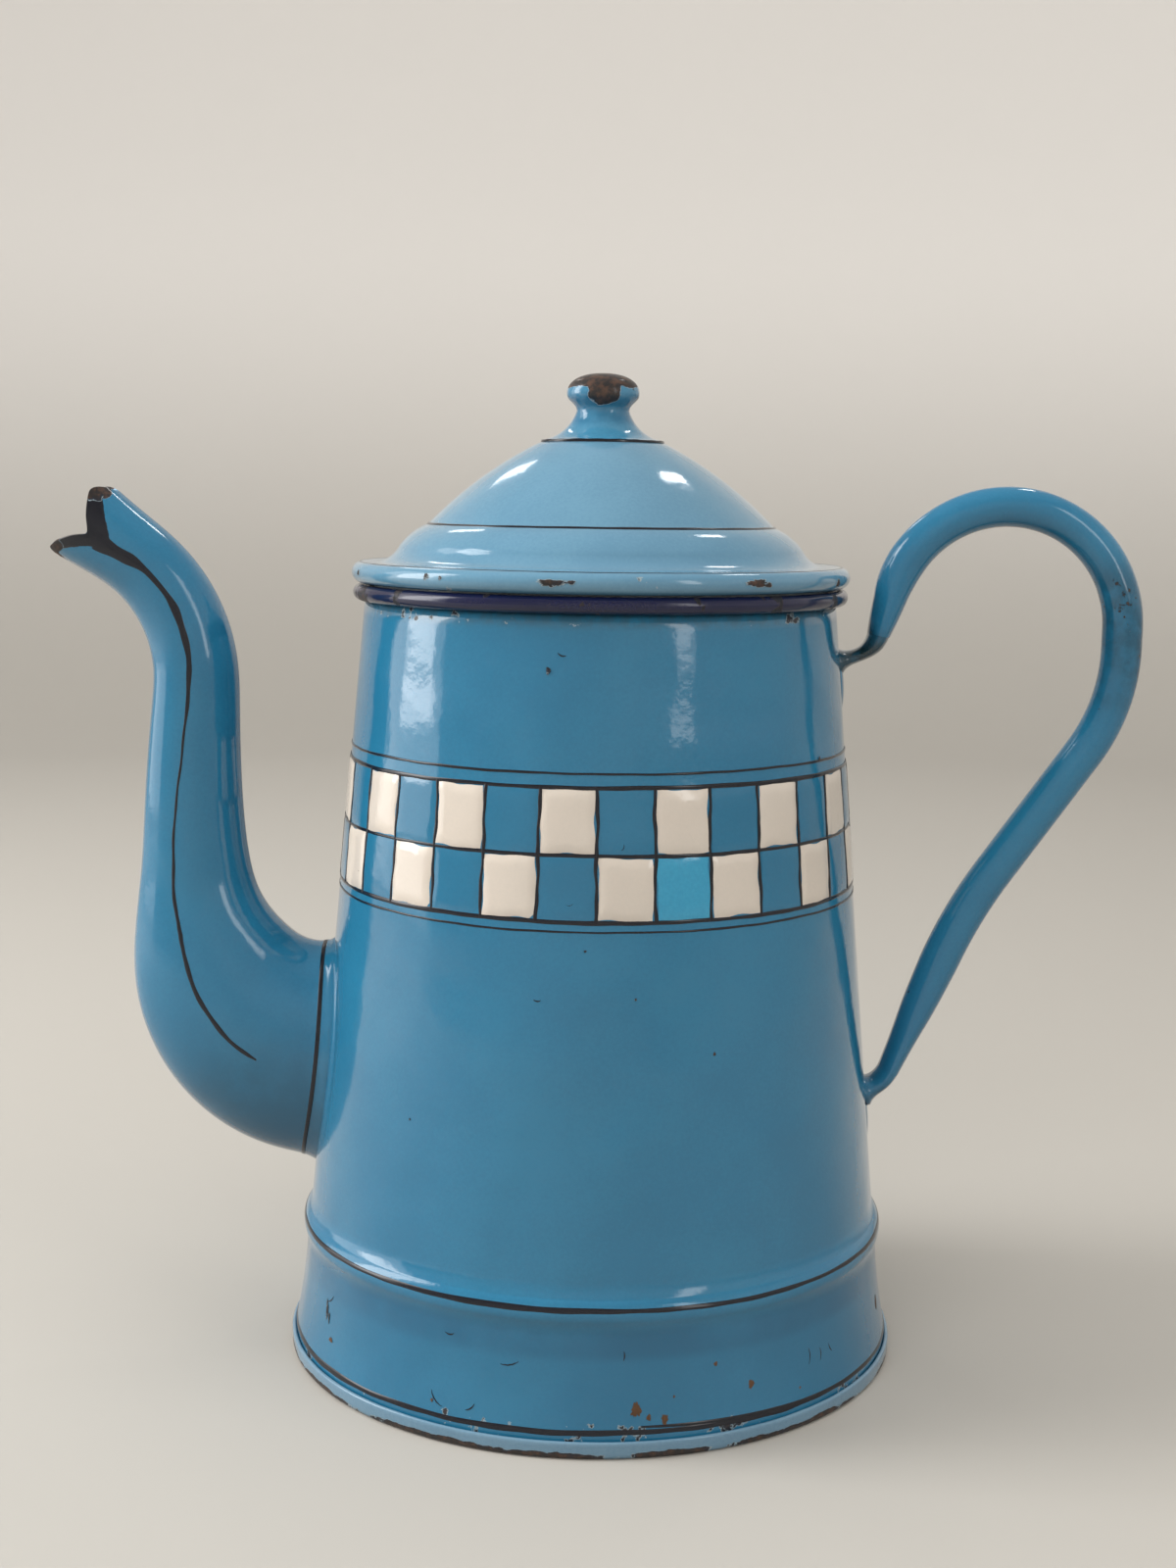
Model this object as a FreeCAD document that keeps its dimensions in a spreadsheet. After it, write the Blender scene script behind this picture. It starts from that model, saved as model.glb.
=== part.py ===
import FreeCAD
import Part
import Sketcher
import math
import os
import re

Vector = FreeCAD.Vector

# Enamelled steel coffee pot: millimetres, Z up, origin on the floor at the pot's axis.
# The spout points to -X and the handle to +X.
doc = FreeCAD.newDocument("enamel_coffee_pot")
sheet = doc.addObject("Spreadsheet::Sheet", "Sizes")

SIZES = [
    ("sheet_wall", 1.0, "steel sheet with its enamel"),
    ("weld_gap", 0.05, "space left between two welded skins"),
    ("seam_clearance", 0.05, "play of the wall in the foot seam"),
    ("foot_radius", 75.0, "outside of the seamed foot"),
    ("foot_height", 4.2, "height of the foot seam"),
    ("foot_round", 1.2, "lower round of the foot seam"),
    ("floor_rise", 3.2, "floor above the table"),
    ("skirt_flare", 4.9, "foot outside the cone's start"),
    ("wall_foot_height", 35.0, "height where the cone starts"),
    ("shoulder_step", 1.7, "shoulder outside the cone's start"),
    ("shoulder_drop", 4.6, "shoulder below the cone's start"),
    ("groove_step", 0.7, "groove inside the shoulder"),
    ("groove_drop", 4.2, "groove below the shoulder"),
    ("skirt_sweep", 150.0, "hollow curve of the skirt"),
    ("shoulder_roll", 4.2, "round of the shoulder"),
    ("groove_roll", 7.0, "round of the groove"),
    ("mouth_radius", 56.8, "outside of the cone at the rim"),
    ("mouth_height", 186.2, "centre of the rim roll"),
    ("rim_roll", 1.9, "radius of the rim roll"),
    ("strainer_hole", 5.0, "hole behind the spout"),
    ("strainer_pitch", 8.0, "spacing of those holes"),
    ("spout_root_height", 71.7, "centre of the spout's root"),
    ("spout_root_tall", 54.0, "root, up and down"),
    ("spout_root_wide", 35.0, "root, side to side"),
    ("spout_elbow_radius", 31.3, "centre line of the lower elbow"),
    ("spout_elbow_shift", 2.9, "centre line drawn in at the end of the elbow"),
    ("spout_knee_tall", 37.0, "end of the elbow, fore and aft"),
    ("spout_knee_wide", 26.0, "end of the elbow, side to side"),
    ("spout_rise", 61.0, "straight part above the elbow"),
    ("spout_belly", 1.1, "front of the straight part, outward"),
    ("spout_shaft_tall", 26.9, "foot of the straight part, fore and aft"),
    ("spout_shaft_wide", 22.5, "foot of the straight part, side to side"),
    ("spout_neck_tall", 20.6, "top of the straight, fore and aft"),
    ("spout_neck_wide", 19.4, "top of the straight, side to side"),
    ("spout_bend_radius", 37.5, "centre line of the upper bend"),
    ("spout_bend_angle", 55.0, "turn of the upper bend, degrees"),
    ("spout_throat_tall", 18.9, "end of the bend, up and down"),
    ("spout_throat_wide", 18.6, "end of the bend, side to side"),
    ("spout_mouth_tall", 21.6, "open beak, up and down"),
    ("spout_mouth_wide", 17.4, "open beak, side to side"),
    ("spout_lip", 14.6, "beak beyond the bend"),
    ("spout_notch", 5.5, "depth of the notch between the lips"),
    ("handle_tube", 9.7, "handle tube across"),
    ("handle_reach", 131.6, "outermost of the handle from the axis"),
    ("handle_head_gap", 10.68, "tube's upper end from the wall"),
    ("handle_loop_drop", 6.5, "loop centre below the rim"),
    ("handle_loop_start", 168.0, "start of the loop, degrees"),
    ("handle_upper_run", 9.0, "flattened run at the upper end"),
    ("handle_drop", 5.0, "straight below the loop"),
    ("handle_sweep_radius", 45.0, "curve below the straight"),
    ("handle_sweep_angle", 35.0, "turn of that curve, degrees"),
    ("handle_slope", 36.0, "straight slope below the curve"),
    ("handle_return_radius", 120.0, "return curve"),
    ("handle_return_angle", 12.0, "turn of the return curve, degrees"),
    ("handle_foot_gap", 6.4, "tube's lower end from the wall"),
    ("handle_end_thick", 4.5, "flattened tube end, thickness"),
    ("handle_end_wide", 10.6, "flattened tube end, width"),
    ("strap_thick", 2.2, "strap thickness"),
    ("strap_wide", 8.0, "strap width"),
    ("strap_tongue", 6.0, "tongue inside the tube end"),
    ("strap_play", 0.1, "play round the tongue"),
    ("strap_bend", 3.4, "bend of the upper strap"),
    ("strap_leg", 9.0, "upper strap along the wall"),
    ("strap_lower_bend", 5.0, "bend of the lower strap"),
    ("strap_lower_leg", 3.5, "lower strap along the wall"),
    ("lid_gap", 0.3, "lid roll above the rim roll"),
    ("lid_overhang", 0.4, "lid roll outside the rim roll"),
    ("lid_roll", 2.5, "radius of the lid's rolled edge"),
    ("lid_ledge", 4.0, "flat ring inside the lid roll"),
    ("lid_ogee_wide", 5.0, "hollow curve, across"),
    ("lid_ogee_rise", 3.9, "hollow curve, up"),
    ("lid_ogee_round", 7.0, "hollow curve, radius"),
    ("lid_ring_wide", 6.8, "round step, across"),
    ("lid_ring_rise", 5.2, "round step, up"),
    ("lid_ring_round", 16.0, "round step, radius"),
    ("lid_dome_rise", 19.6, "dome, up"),
    ("lid_dome_round", 97.0, "dome, radius"),
    ("collar_clearance", 1.1, "collar inside the mouth"),
    ("collar_depth", 16.0, "collar below the lid's ledge"),
    ("knob_foot_radius", 14.7, "outside of the knob's foot"),
    ("knob_foot_edge", 0.5, "upright edge of the knob's foot"),
    ("knob_seat_margin", 0.4, "crown outside the knob's foot"),
    ("knob_neck_radius", 6.3, "narrowest part of the knob"),
    ("knob_neck_rise", 7.6, "neck above the crown"),
    ("knob_flare_round", 10.4, "hollow curve above the foot"),
    ("knob_head_radius", 8.4, "widest part of the knob"),
    ("knob_head_rise", 4.0, "widest part above the neck"),
    ("knob_head_top", 4.9, "top above the widest part"),
    ("knob_edge_round", 3.6, "round of the knob's upper edge"),
]
for row, (alias, value, meaning) in enumerate(SIZES, start=1):
    sheet.set(f"A{row}", meaning)
    sheet.set(f"B{row}", str(value))
    sheet.setAlias(f"B{row}", alias)
doc.recompute()
ALIASES = {alias for alias, value, meaning in SIZES}


def size(alias):
    return float(sheet.get(alias))


def bound(text):
    """Expression text with every alias tied to the sheet."""
    return re.sub(r"[a-z_]+", lambda m: "Sizes." + m[0] if m[0] in ALIASES else m[0], text)


def worth(text):
    return float(sheet.evalExpression(bound(text)))


def plane_of(body, role):
    return next(f for f in body.Origin.OriginFeatures if f.Role == role)


def place(sketch, geo, end, across, up):
    """Fix one sketch point at (across, up), each an expression."""
    for kind, text, axis in (("DistanceX", across, -2), ("DistanceY", up, -1)):
        value = worth(text)
        if text == "0":
            sketch.addConstraint(Sketcher.Constraint("PointOnObject", geo, end, axis))
            continue
        points = (-1, 1, geo, end) if value > 0 else (geo, end, -1, 1)
        index = sketch.addConstraint(Sketcher.Constraint(kind, *points, abs(value)))
        sketch.setExpression(f"Constraints[{index}]", bound(text if value > 0 else f"-({text})"))


def arc_between(start, end, radius, turn, large):
    """Circle arc from start to end, turning left for +1 and right for -1."""
    chord = end - start
    half = chord.Length / 2.0
    side = Vector(-chord.y, chord.x, 0).normalize() * turn * (-1 if large else 1)
    centre = start + chord * 0.5 + side * math.sqrt(max(radius * radius - half * half, 0.0))
    circle = Part.Circle(centre, Vector(0, 0, 1), radius)
    first = math.atan2(start.y - centre.y, start.x - centre.x)
    last = math.atan2(end.y - centre.y, end.x - centre.x)
    if turn < 0:
        first, last = last, first
    if last <= first:
        last += 2 * math.pi
    return Part.ArcOfCircle(circle, first, last)


def draw(sketch, corners):
    """Closed outline: (r, z) ends a straight, (r, z, radius, turn, large) ends an arc."""
    spots = [Vector(worth(c[0]), worth(c[1]), 0) for c in corners]
    ends = []
    for index, corner in enumerate(corners):
        start, end = spots[index - 1], spots[index]
        if len(corner) == 2:
            geo = sketch.addGeometry(Part.LineSegment(start, end))
            ends.append((geo, 1, 2))
            continue
        radius, turn, large = corner[2:]
        geo = sketch.addGeometry(arc_between(start, end, worth(radius), turn, large))
        ends.append((geo, 1, 2) if turn > 0 else (geo, 2, 1))
        mark = sketch.addConstraint(Sketcher.Constraint("Radius", geo, worth(radius)))
        sketch.setExpression(f"Constraints[{mark}]", bound(radius))
    for index, corner in enumerate(corners):
        geo, first, last = ends[index]
        before = ends[index - 1]
        sketch.addConstraint(Sketcher.Constraint("Coincident", before[0], before[2], geo, first))
        place(sketch, geo, last, corner[0], corner[1])


def turned(label, corners):
    """Body turned about the pot's axis from an outline in the XZ plane."""
    body = doc.addObject("PartDesign::Body", label)
    body.Label = label
    sketch = body.newObject("Sketcher::SketchObject", label + "_outline")
    sketch.AttachmentSupport = [(plane_of(body, "XZ_Plane"), "")]
    sketch.MapMode = "FlatFace"
    draw(sketch, corners)
    turn = body.newObject("PartDesign::Revolution", label + "_turn")
    turn.Profile = sketch
    turn.ReferenceAxis = (sketch, ["V_Axis"])
    turn.Angle = 360.0
    body.Tip = turn
    doc.recompute()
    return body


def formed(label, shape):
    """Piece whose shape follows a curved line, kept as one object of the document."""
    item = doc.addObject("Part::Feature", label)
    item.Shape = shape
    item.Placement = FreeCAD.Placement()
    return item


def combined(kind, label, base, tool):
    item = doc.addObject(kind, label)
    item.Base = base
    item.Tool = tool
    item.Label = label
    return item


# Body wall: foot edge, hollow skirt, shoulder, straight cone and rolled rim.
CONE_R = "foot_radius - skirt_flare"
SHOULDER_R = f"{CONE_R} + shoulder_step"
SHOULDER_Z = "wall_foot_height - shoulder_drop"
GROOVE_R = f"{SHOULDER_R} - groove_step"
GROOVE_Z = f"{SHOULDER_Z} - groove_drop"
EDGE_R = "foot_radius - sheet_wall - seam_clearance"
EDGE_Z = "foot_height + sheet_wall"
RIM_UNDER = "mouth_height - sqrt(rim_roll * rim_roll - (rim_roll - sheet_wall) * (rim_roll - sheet_wall))"

body_shell = turned("body_shell", [
    (EDGE_R, "sheet_wall"),
    (EDGE_R, EDGE_Z),
    (GROOVE_R, GROOVE_Z, "skirt_sweep", -1, False),
    (SHOULDER_R, SHOULDER_Z, "groove_roll", -1, False),
    (CONE_R, "wall_foot_height", "shoulder_roll", 1, False),
    ("mouth_radius", RIM_UNDER),
    ("mouth_radius - sheet_wall", "mouth_height", "rim_roll", 1, True),
    (f"{CONE_R} - sheet_wall", "wall_foot_height"),
    (f"{SHOULDER_R} - sheet_wall", SHOULDER_Z, "shoulder_roll", -1, False),
    (f"{GROOVE_R} - sheet_wall", GROOVE_Z, "groove_roll", 1, False),
    (f"{EDGE_R} - sheet_wall", EDGE_Z, "skirt_sweep", 1, False),
    (f"{EDGE_R} - sheet_wall", "sheet_wall"),
])

# Strainer: holes through the wall behind the spout, in staggered rows inside the root.
holes = body_shell.newObject("Sketcher::SketchObject", "strainer_holes")
holes.AttachmentSupport = [(plane_of(body_shell, "YZ_Plane"), "")]
holes.MapMode = "FlatFace"
reach_up = size("spout_root_tall") / 2.0 - size("strainer_hole")
reach_out = size("spout_root_wide") / 2.0 - size("strainer_hole")
step_out = size("strainer_pitch") / 2.0
step_up = step_out * 1.75
first_hole = None
for level in range(-9, 10):
    for column in range(-9, 10):
        across = column * step_out / reach_out
        up = level * step_up / reach_up
        if (level + column) % 2 or across * across + up * up > 1.0:
            continue
        centre = Vector(column * step_out, size("spout_root_height") + level * step_up, 0)
        circle = Part.Circle(centre, Vector(0, 0, 1), size("strainer_hole") / 2.0)
        geo = holes.addGeometry(circle)
        if first_hole is None:
            first_hole = geo
            mark = holes.addConstraint(Sketcher.Constraint("Diameter", geo, size("strainer_hole")))
            holes.setExpression(f"Constraints[{mark}]", "Sizes.strainer_hole")
        else:
            holes.addConstraint(Sketcher.Constraint("Equal", first_hole, geo))
        spot = f"strainer_pitch * {column * 0.5}" if column else "0"
        place(holes, geo, 3, spot, f"spout_root_height + strainer_pitch * {level * 0.875}")
strainer = body_shell.newObject("PartDesign::Pocket", "strainer")
strainer.Profile = holes
strainer.setExpression("Length", bound("foot_radius + shoulder_step"))
body_shell.Tip = strainer
doc.recompute()

# Bottom: raised floor with a channel that holds the wall's lower edge and folds up outside it.
CHANNEL_R = f"{EDGE_R} - sheet_wall - seam_clearance"
bottom_disc = turned("bottom_disc", [
    ("0", "floor_rise"),
    (f"{CHANNEL_R} - sheet_wall", "floor_rise"),
    (f"{CHANNEL_R} - sheet_wall", "0"),
    ("foot_radius - foot_round", "0"),
    ("foot_radius", "foot_round", "foot_round", 1, False),
    ("foot_radius", "foot_height - sheet_wall * 0.5"),
    ("foot_radius - sheet_wall", "foot_height - sheet_wall * 0.5", "sheet_wall * 0.6", 1, False),
    ("foot_radius - sheet_wall", "sheet_wall"),
    (CHANNEL_R, "sheet_wall"),
    (CHANNEL_R, "floor_rise + sheet_wall"),
    ("0", "floor_rise + sheet_wall"),
])

# Lid: rolled edge, flat ledge, ogee shoulder and dome with a flat crown for the knob.
RIM_OUT = "mouth_radius - sheet_wall + 2 * rim_roll"
ROLL_R = f"{RIM_OUT} + lid_overhang - lid_roll"
ROLL_Z = "mouth_height + rim_roll + lid_gap + lid_roll"
LEDGE_R = f"{ROLL_R} - lid_ledge"
LEDGE_Z = f"{ROLL_Z} + lid_roll"
OGEE_R = f"{LEDGE_R} - lid_ogee_wide"
OGEE_Z = f"{LEDGE_Z} + lid_ogee_rise"
RING_R = f"{OGEE_R} - lid_ring_wide"
RING_Z = f"{OGEE_Z} + lid_ring_rise"
CROWN_R = "knob_foot_radius + knob_seat_margin"
CROWN_Z = f"{RING_Z} + lid_dome_rise"
ROLL_IN = "sqrt(lid_roll * lid_roll - (lid_roll - sheet_wall) * (lid_roll - sheet_wall))"

lid_shell = turned("lid_shell", [
    ("0", CROWN_Z),
    ("0", f"{CROWN_Z} - sheet_wall"),
    (f"{CROWN_R} - sheet_wall * 0.4", f"{CROWN_Z} - sheet_wall"),
    (f"{RING_R} - sheet_wall * 0.7", f"{RING_Z} - sheet_wall * 0.7", "lid_dome_round", -1, False),
    (f"{OGEE_R} - sheet_wall * 0.7", f"{OGEE_Z} - sheet_wall * 0.7", "lid_ring_round", -1, False),
    (f"{LEDGE_R}", f"{LEDGE_Z} - sheet_wall", "lid_ogee_round + sheet_wall", 1, False),
    (f"{ROLL_R} - {ROLL_IN}", f"{LEDGE_Z} - sheet_wall"),
    (ROLL_R, LEDGE_Z, "lid_roll", 1, True),
    (LEDGE_R, LEDGE_Z),
    (OGEE_R, OGEE_Z, "lid_ogee_round", -1, False),
    (RING_R, RING_Z, "lid_ring_round", 1, False),
    (CROWN_R, CROWN_Z, "lid_dome_round", 1, False),
])

# Collar under the lid that keeps it in the mouth.
COLLAR_R = "mouth_radius - sheet_wall - collar_clearance"
COLLAR_TOP = f"{LEDGE_Z} - sheet_wall - weld_gap"
lid_collar = turned("lid_collar", [
    (f"{COLLAR_R} - sheet_wall", f"{COLLAR_TOP} - collar_depth"),
    (f"{COLLAR_R} - sheet_wall * 0.5", f"{COLLAR_TOP} - collar_depth"),
    (COLLAR_R, f"{COLLAR_TOP} - collar_depth + sheet_wall * 0.5", "sheet_wall * 0.5", 1, False),
    (COLLAR_R, COLLAR_TOP),
    (f"{COLLAR_R} - sheet_wall", COLLAR_TOP),
])

# Knob: hollow, with a flared foot on the crown, a neck and a rounded head.
NECK_Z = f"{CROWN_Z} + knob_neck_rise"
HEAD_Z = f"{NECK_Z} + knob_head_rise"
TOP_Z = f"{HEAD_Z} + knob_head_top"
FOOT_Z = f"{CROWN_Z} + weld_gap"
lid_knob = turned("lid_knob", [
    ("0", TOP_Z),
    ("0", f"{TOP_Z} - sheet_wall"),
    ("knob_head_radius - knob_edge_round", f"{TOP_Z} - sheet_wall"),
    ("knob_head_radius - sheet_wall", HEAD_Z),
    ("knob_neck_radius - sheet_wall", NECK_Z),
    ("knob_foot_radius - sheet_wall", f"{FOOT_Z} + sheet_wall * 0.2",
     "knob_flare_round + sheet_wall", 1, False),
    ("knob_foot_radius - sheet_wall", FOOT_Z),
    ("knob_foot_radius", FOOT_Z),
    ("knob_foot_radius", f"{FOOT_Z} + knob_foot_edge"),
    ("knob_neck_radius", NECK_Z, "knob_flare_round", -1, False),
    ("knob_head_radius", HEAD_Z, "knob_head_rise", -1, False),
    ("knob_head_radius - knob_edge_round * 0.7", f"{TOP_Z} - sheet_wall * 0.4",
     "knob_head_top", 1, False),
])

# Straight cone of the wall, for everything that is fitted to it.
wall_slope = size("foot_radius") - size("skirt_flare") - size("mouth_radius")
wall_slope /= size("mouth_height") - size("wall_foot_height")


def wall_radius(height):
    return size("mouth_radius") + (size("mouth_height") - height) * wall_slope


def wall_distance(spot):
    return spot.x - wall_radius(spot.z)


low = size("wall_foot_height") - 15.0
high = size("mouth_height")
envelope = formed("wall_envelope", Part.makeCone(
    wall_radius(low) + size("weld_gap"), wall_radius(high) + size("weld_gap"),
    high - low, Vector(0, 0, low)))


def heading(degrees):
    """Direction in the XZ plane, measured from +X towards +Z."""
    angle = math.radians(degrees)
    return Vector(math.cos(angle), 0, math.sin(angle))


def oval(centre, degrees, tall, wide):
    """Oval square to a heading: tall in the XZ plane, wide along Y."""
    grown = FreeCAD.Matrix()
    grown.scale(tall, wide, 1.0)
    turn = FreeCAD.Rotation(Vector(0, 1, 0), 90.0 - degrees)
    ring = Part.Wire(Part.Circle(Vector(), Vector(0, 0, 1), 0.5).toShape())
    return ring.transformGeometry(FreeCAD.Placement(centre, turn).toMatrix() * grown)


# Spout: elbow out of the wall, straight rise, bend and flared beak.
elbow = size("spout_elbow_radius")
root = Vector(-wall_radius(size("spout_root_height")), 0, size("spout_root_height"))
elbow_centre = root + Vector(0, 0, elbow)
knee = elbow_centre + Vector(-elbow, 0, 0)
neck = knee + Vector(0, 0, size("spout_rise"))
bend = size("spout_bend_radius")
bend_centre = neck + Vector(-bend, 0, 0)
lip_angle = 90.0 + size("spout_bend_angle")
throat = bend_centre + heading(size("spout_bend_angle")) * bend


def spout_solid(inset):
    """Solid inside the spout's outline, smaller all round by inset and longer at both ends."""
    rings = []

    def ring(spot, degrees, tall, wide):
        rings.append(oval(spot, degrees, tall - 2 * inset, wide - 2 * inset))

    root_tall = size("spout_root_tall")
    root_wide = size("spout_root_wide")
    knee_tall = size("spout_knee_tall")
    knee_wide = size("spout_knee_wide")
    for share in (1.0, 0.5):
        inside = Vector((root_tall * 0.3 + inset * 4.0) * share, 0, 0)
        ring(root + inside, 180.0, root_tall, root_wide)
    for angle in (0.0, 15.0, 30.0, 45.0, 60.0, 75.0, 90.0):
        share = 1.0 - math.cos(math.radians(angle))
        drawn_in = size("spout_elbow_shift") * math.sin(math.radians(angle)) ** 2
        spot = elbow_centre + heading(270.0 - angle) * (elbow - drawn_in)
        ring(spot, 180.0 - angle, root_tall + (knee_tall - root_tall) * share,
             root_wide + (knee_wide - root_wide) * share)
    for share in (0.1, 0.2, 0.34, 0.5, 0.68, 0.84, 1.0):
        fade = math.exp(-7.0 * share) * (1.0 - share)
        back = size("spout_elbow_shift") * fade * fade
        back -= size("spout_belly") * math.sin(math.pi * share)
        spot = knee + Vector(back, 0, size("spout_rise") * share)
        tall = size("spout_shaft_tall") * (1 - share) + size("spout_neck_tall") * share
        wide = size("spout_shaft_wide") * (1 - share) + size("spout_neck_wide") * share
        ring(spot, 90.0, tall + (knee_tall - size("spout_shaft_tall")) * fade,
             wide + (knee_wide - size("spout_shaft_wide")) * fade)
    for share in (0.25, 0.5, 0.75, 1.0):
        angle = size("spout_bend_angle") * share
        tall = size("spout_neck_tall") * (1 - share) + size("spout_throat_tall") * share
        wide = size("spout_neck_wide") * (1 - share) + size("spout_throat_wide") * share
        ring(bend_centre + heading(angle) * bend, 90.0 + angle, tall, wide)
    for share in (0.5, 1.0, 1.3 + inset * 0.2):
        tall = size("spout_throat_tall") * (1 - share) + size("spout_mouth_tall") * share
        wide = size("spout_throat_wide") * (1 - share) + size("spout_mouth_wide") * share
        ring(throat + heading(lip_angle) * size("spout_lip") * share, lip_angle, tall, wide)
    return Part.makeLoft(rings, True, False)


def beak_cutter():
    """Prism that leaves the upper lip, the side notch and the lower lip."""
    along = heading(lip_angle)
    across = heading(lip_angle - 90.0)
    lip = size("spout_lip")
    tall = size("spout_mouth_tall")
    spots = [
        (lip - 9.3, tall * 0.72),
        (lip, tall * 0.32),
        (lip - size("spout_notch"), -tall * 0.06),
        (lip, -tall * 0.52),
        (lip - 8.9, -tall * 0.68),
        (lip - 8.9, -tall * 2.0),
        (lip + 40.0, -tall * 2.0),
        (lip + 40.0, tall * 2.0),
        (lip - 9.3, tall * 2.0),
    ]
    side = Vector(0, -size("spout_mouth_wide") * 2, 0)
    corners = [throat + along * a + across * b + side for a, b in spots]
    face = Part.Face(Part.makePolygon(corners + corners[:1]))
    return face.extrude(side * -2)


spout_outside = formed("spout_outside", spout_solid(0.0))
spout_inside = formed("spout_inside", spout_solid(size("sheet_wall")))
spout_hollow = combined("Part::Cut", "spout_hollow", spout_outside, spout_inside)
spout_beak = formed("spout_beak", beak_cutter())
spout_fitted = combined("Part::Cut", "spout_fitted", spout_hollow, envelope)
spout_whole = combined("Part::Cut", "spout_whole", spout_fitted, spout_beak)
for side, label in ((-1, "spout_near_half"), (1, "spout_far_half")):
    room = doc.addObject("Part::Box", label + "_side")
    room.setExpression("Length", bound("spout_root_tall * 6"))
    room.setExpression("Width", bound("spout_root_wide * 2"))
    room.setExpression("Height", bound("spout_root_tall * 6"))
    room.setExpression("Placement.Base.x", bound("-spout_root_tall * 6"))
    if side < 0:
        room.setExpression("Placement.Base.y", bound("-spout_root_wide * 2"))
    combined("Part::Common", label, spout_whole, room)

# Handle: tube looped over the top, swept down to the wall, with both ends flattened.
tube = size("handle_tube")
upper_down = size("handle_loop_start") + 90.0
outermost = Vector(size("handle_reach") - tube / 2.0, 0, size("mouth_height") - size("handle_loop_drop"))
span = wall_distance(outermost + heading(upper_down) * size("handle_upper_run"))
span -= size("handle_head_gap")
loop_lean = heading(size("handle_loop_start"))
loop = span / (1.0 - loop_lean.x - wall_slope * loop_lean.z)
loop_centre = outermost - Vector(loop, 0, 0)
loop_start = loop_centre + loop_lean * loop
upper_end = loop_start + heading(upper_down) * size("handle_upper_run")
loop_end = loop_centre + Vector(loop, 0, 0)
drop_end = loop_end - Vector(0, 0, size("handle_drop"))
sweep = size("handle_sweep_radius")
sweep_centre = drop_end - Vector(sweep, 0, 0)
sweep_turn = size("handle_sweep_angle")
sweep_end = sweep_centre + heading(-sweep_turn) * sweep
slope_down = 270.0 - sweep_turn
slope_end = sweep_end + heading(slope_down) * size("handle_slope")
back = size("handle_return_radius")
back_centre = slope_end + heading(slope_down + 90.0) * back
back_turn = size("handle_return_angle")
back_end = back_centre + heading(slope_down - 90.0 + back_turn) * back
tail_down = slope_down + back_turn
closing = heading(tail_down).x + wall_slope * heading(tail_down).z
tail = (size("handle_foot_gap") - wall_distance(back_end)) / closing
lower_end = back_end + heading(tail_down) * tail


def arc(centre, first, last, radius):
    spots = [centre + heading(a) * radius for a in (first, (first + last) / 2.0, last)]
    return Part.Arc(*spots).toShape()


def handle_solid(inset):
    """Solid inside the handle's outline, smaller all round by inset."""
    line = Part.Wire([
        arc(loop_centre, size("handle_loop_start"), 0.0, loop),
        Part.makeLine(loop_end, drop_end),
        arc(sweep_centre, 0.0, -sweep_turn, sweep),
        Part.makeLine(sweep_end, slope_end),
        arc(back_centre, slope_down - 90.0, slope_down - 90.0 + back_turn, back),
    ])
    round_end = oval(loop_start, upper_down, tube - 2 * inset, tube - 2 * inset)
    pieces = [line.makePipeShell([round_end], True, False)]
    for start, degrees, run in ((loop_start, upper_down, size("handle_upper_run")),
                                (back_end, tail_down, tail)):
        rings = []
        for share, flat in ((0.0, 0.0), (0.3, 0.14), (0.65, 0.6), (1.0, 1.0)):
            tall = tube + (size("handle_end_thick") - tube) * flat
            wide = tube + (size("handle_end_wide") - tube) * flat
            spot = start + heading(degrees) * run * share
            rings.append(oval(spot, degrees, tall - 2 * inset, wide - 2 * inset))
        pieces.append(Part.makeLoft(rings, True, False))
    return pieces[0].fuse(pieces[1:]).removeSplitter()


handle_outside = formed("handle_outside", handle_solid(0.0))
handle_inside = formed("handle_inside", handle_solid(size("sheet_wall")))
combined("Part::Cut", "handle_tube", handle_outside, handle_inside)

# Straps: a tongue in each tube end, a bend and a leg welded along the wall.
wall_down = math.degrees(math.atan2(-1.0, wall_slope)) + 360.0
leg_line = (size("strap_thick") / 2.0 + size("weld_gap")) * math.hypot(1.0, wall_slope)


def strip(edges, start, degrees, thickness, width):
    """Flat strip along a line that starts at a spot with a heading."""
    thick = heading(degrees + 90.0) * (thickness / 2.0)
    side = Vector(0, width / 2.0, 0)
    corners = [start + thick + side, start + thick - side, start - thick - side, start - thick + side]
    section = Part.makePolygon(corners + corners[:1])
    return Part.Wire(edges).makePipeShell([section], True, False)


def strap(label, edges, start, degrees):
    """Strip from just outside a tube end, with a slimmer tongue back into it."""
    inside = 2 * size("sheet_wall") + 2 * size("strap_play")
    ahead = heading(degrees)
    tongue_start = start - ahead * size("strap_tongue")
    tongue_end = start + ahead * (size("strap_thick") * 0.2)
    tongue = strip([Part.makeLine(tongue_start, tongue_end)], tongue_start, degrees,
                   (size("handle_end_thick") - inside) * 0.6, (size("handle_end_wide") - inside) * 0.8)
    leaf = strip(edges, start, degrees, size("strap_thick"), size("strap_wide"))
    return formed(label, leaf.fuse(tongue).removeSplitter())


bend_in = size("strap_bend")
strap_top = upper_end + heading(upper_down) * size("weld_gap")
first_centre = strap_top + heading(upper_down - 90.0) * bend_in
run_start = first_centre + Vector(0, 0, -bend_in)
leg_height = run_start.z - bend_in - bend_in * heading(wall_down + 90.0).z
leg_start = Vector(wall_radius(leg_height) + leg_line, 0, leg_height)
second_centre = leg_start + heading(wall_down + 90.0) * bend_in
run_end = second_centre + Vector(0, 0, bend_in)
strap("handle_upper_strap", [
    arc(first_centre, upper_down + 90.0, 270.0, bend_in),
    Part.makeLine(run_start, run_end),
    arc(second_centre, 90.0, wall_down - 90.0, bend_in),
    Part.makeLine(leg_start, leg_start + heading(wall_down) * size("strap_leg")),
], strap_top, upper_down)

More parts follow.
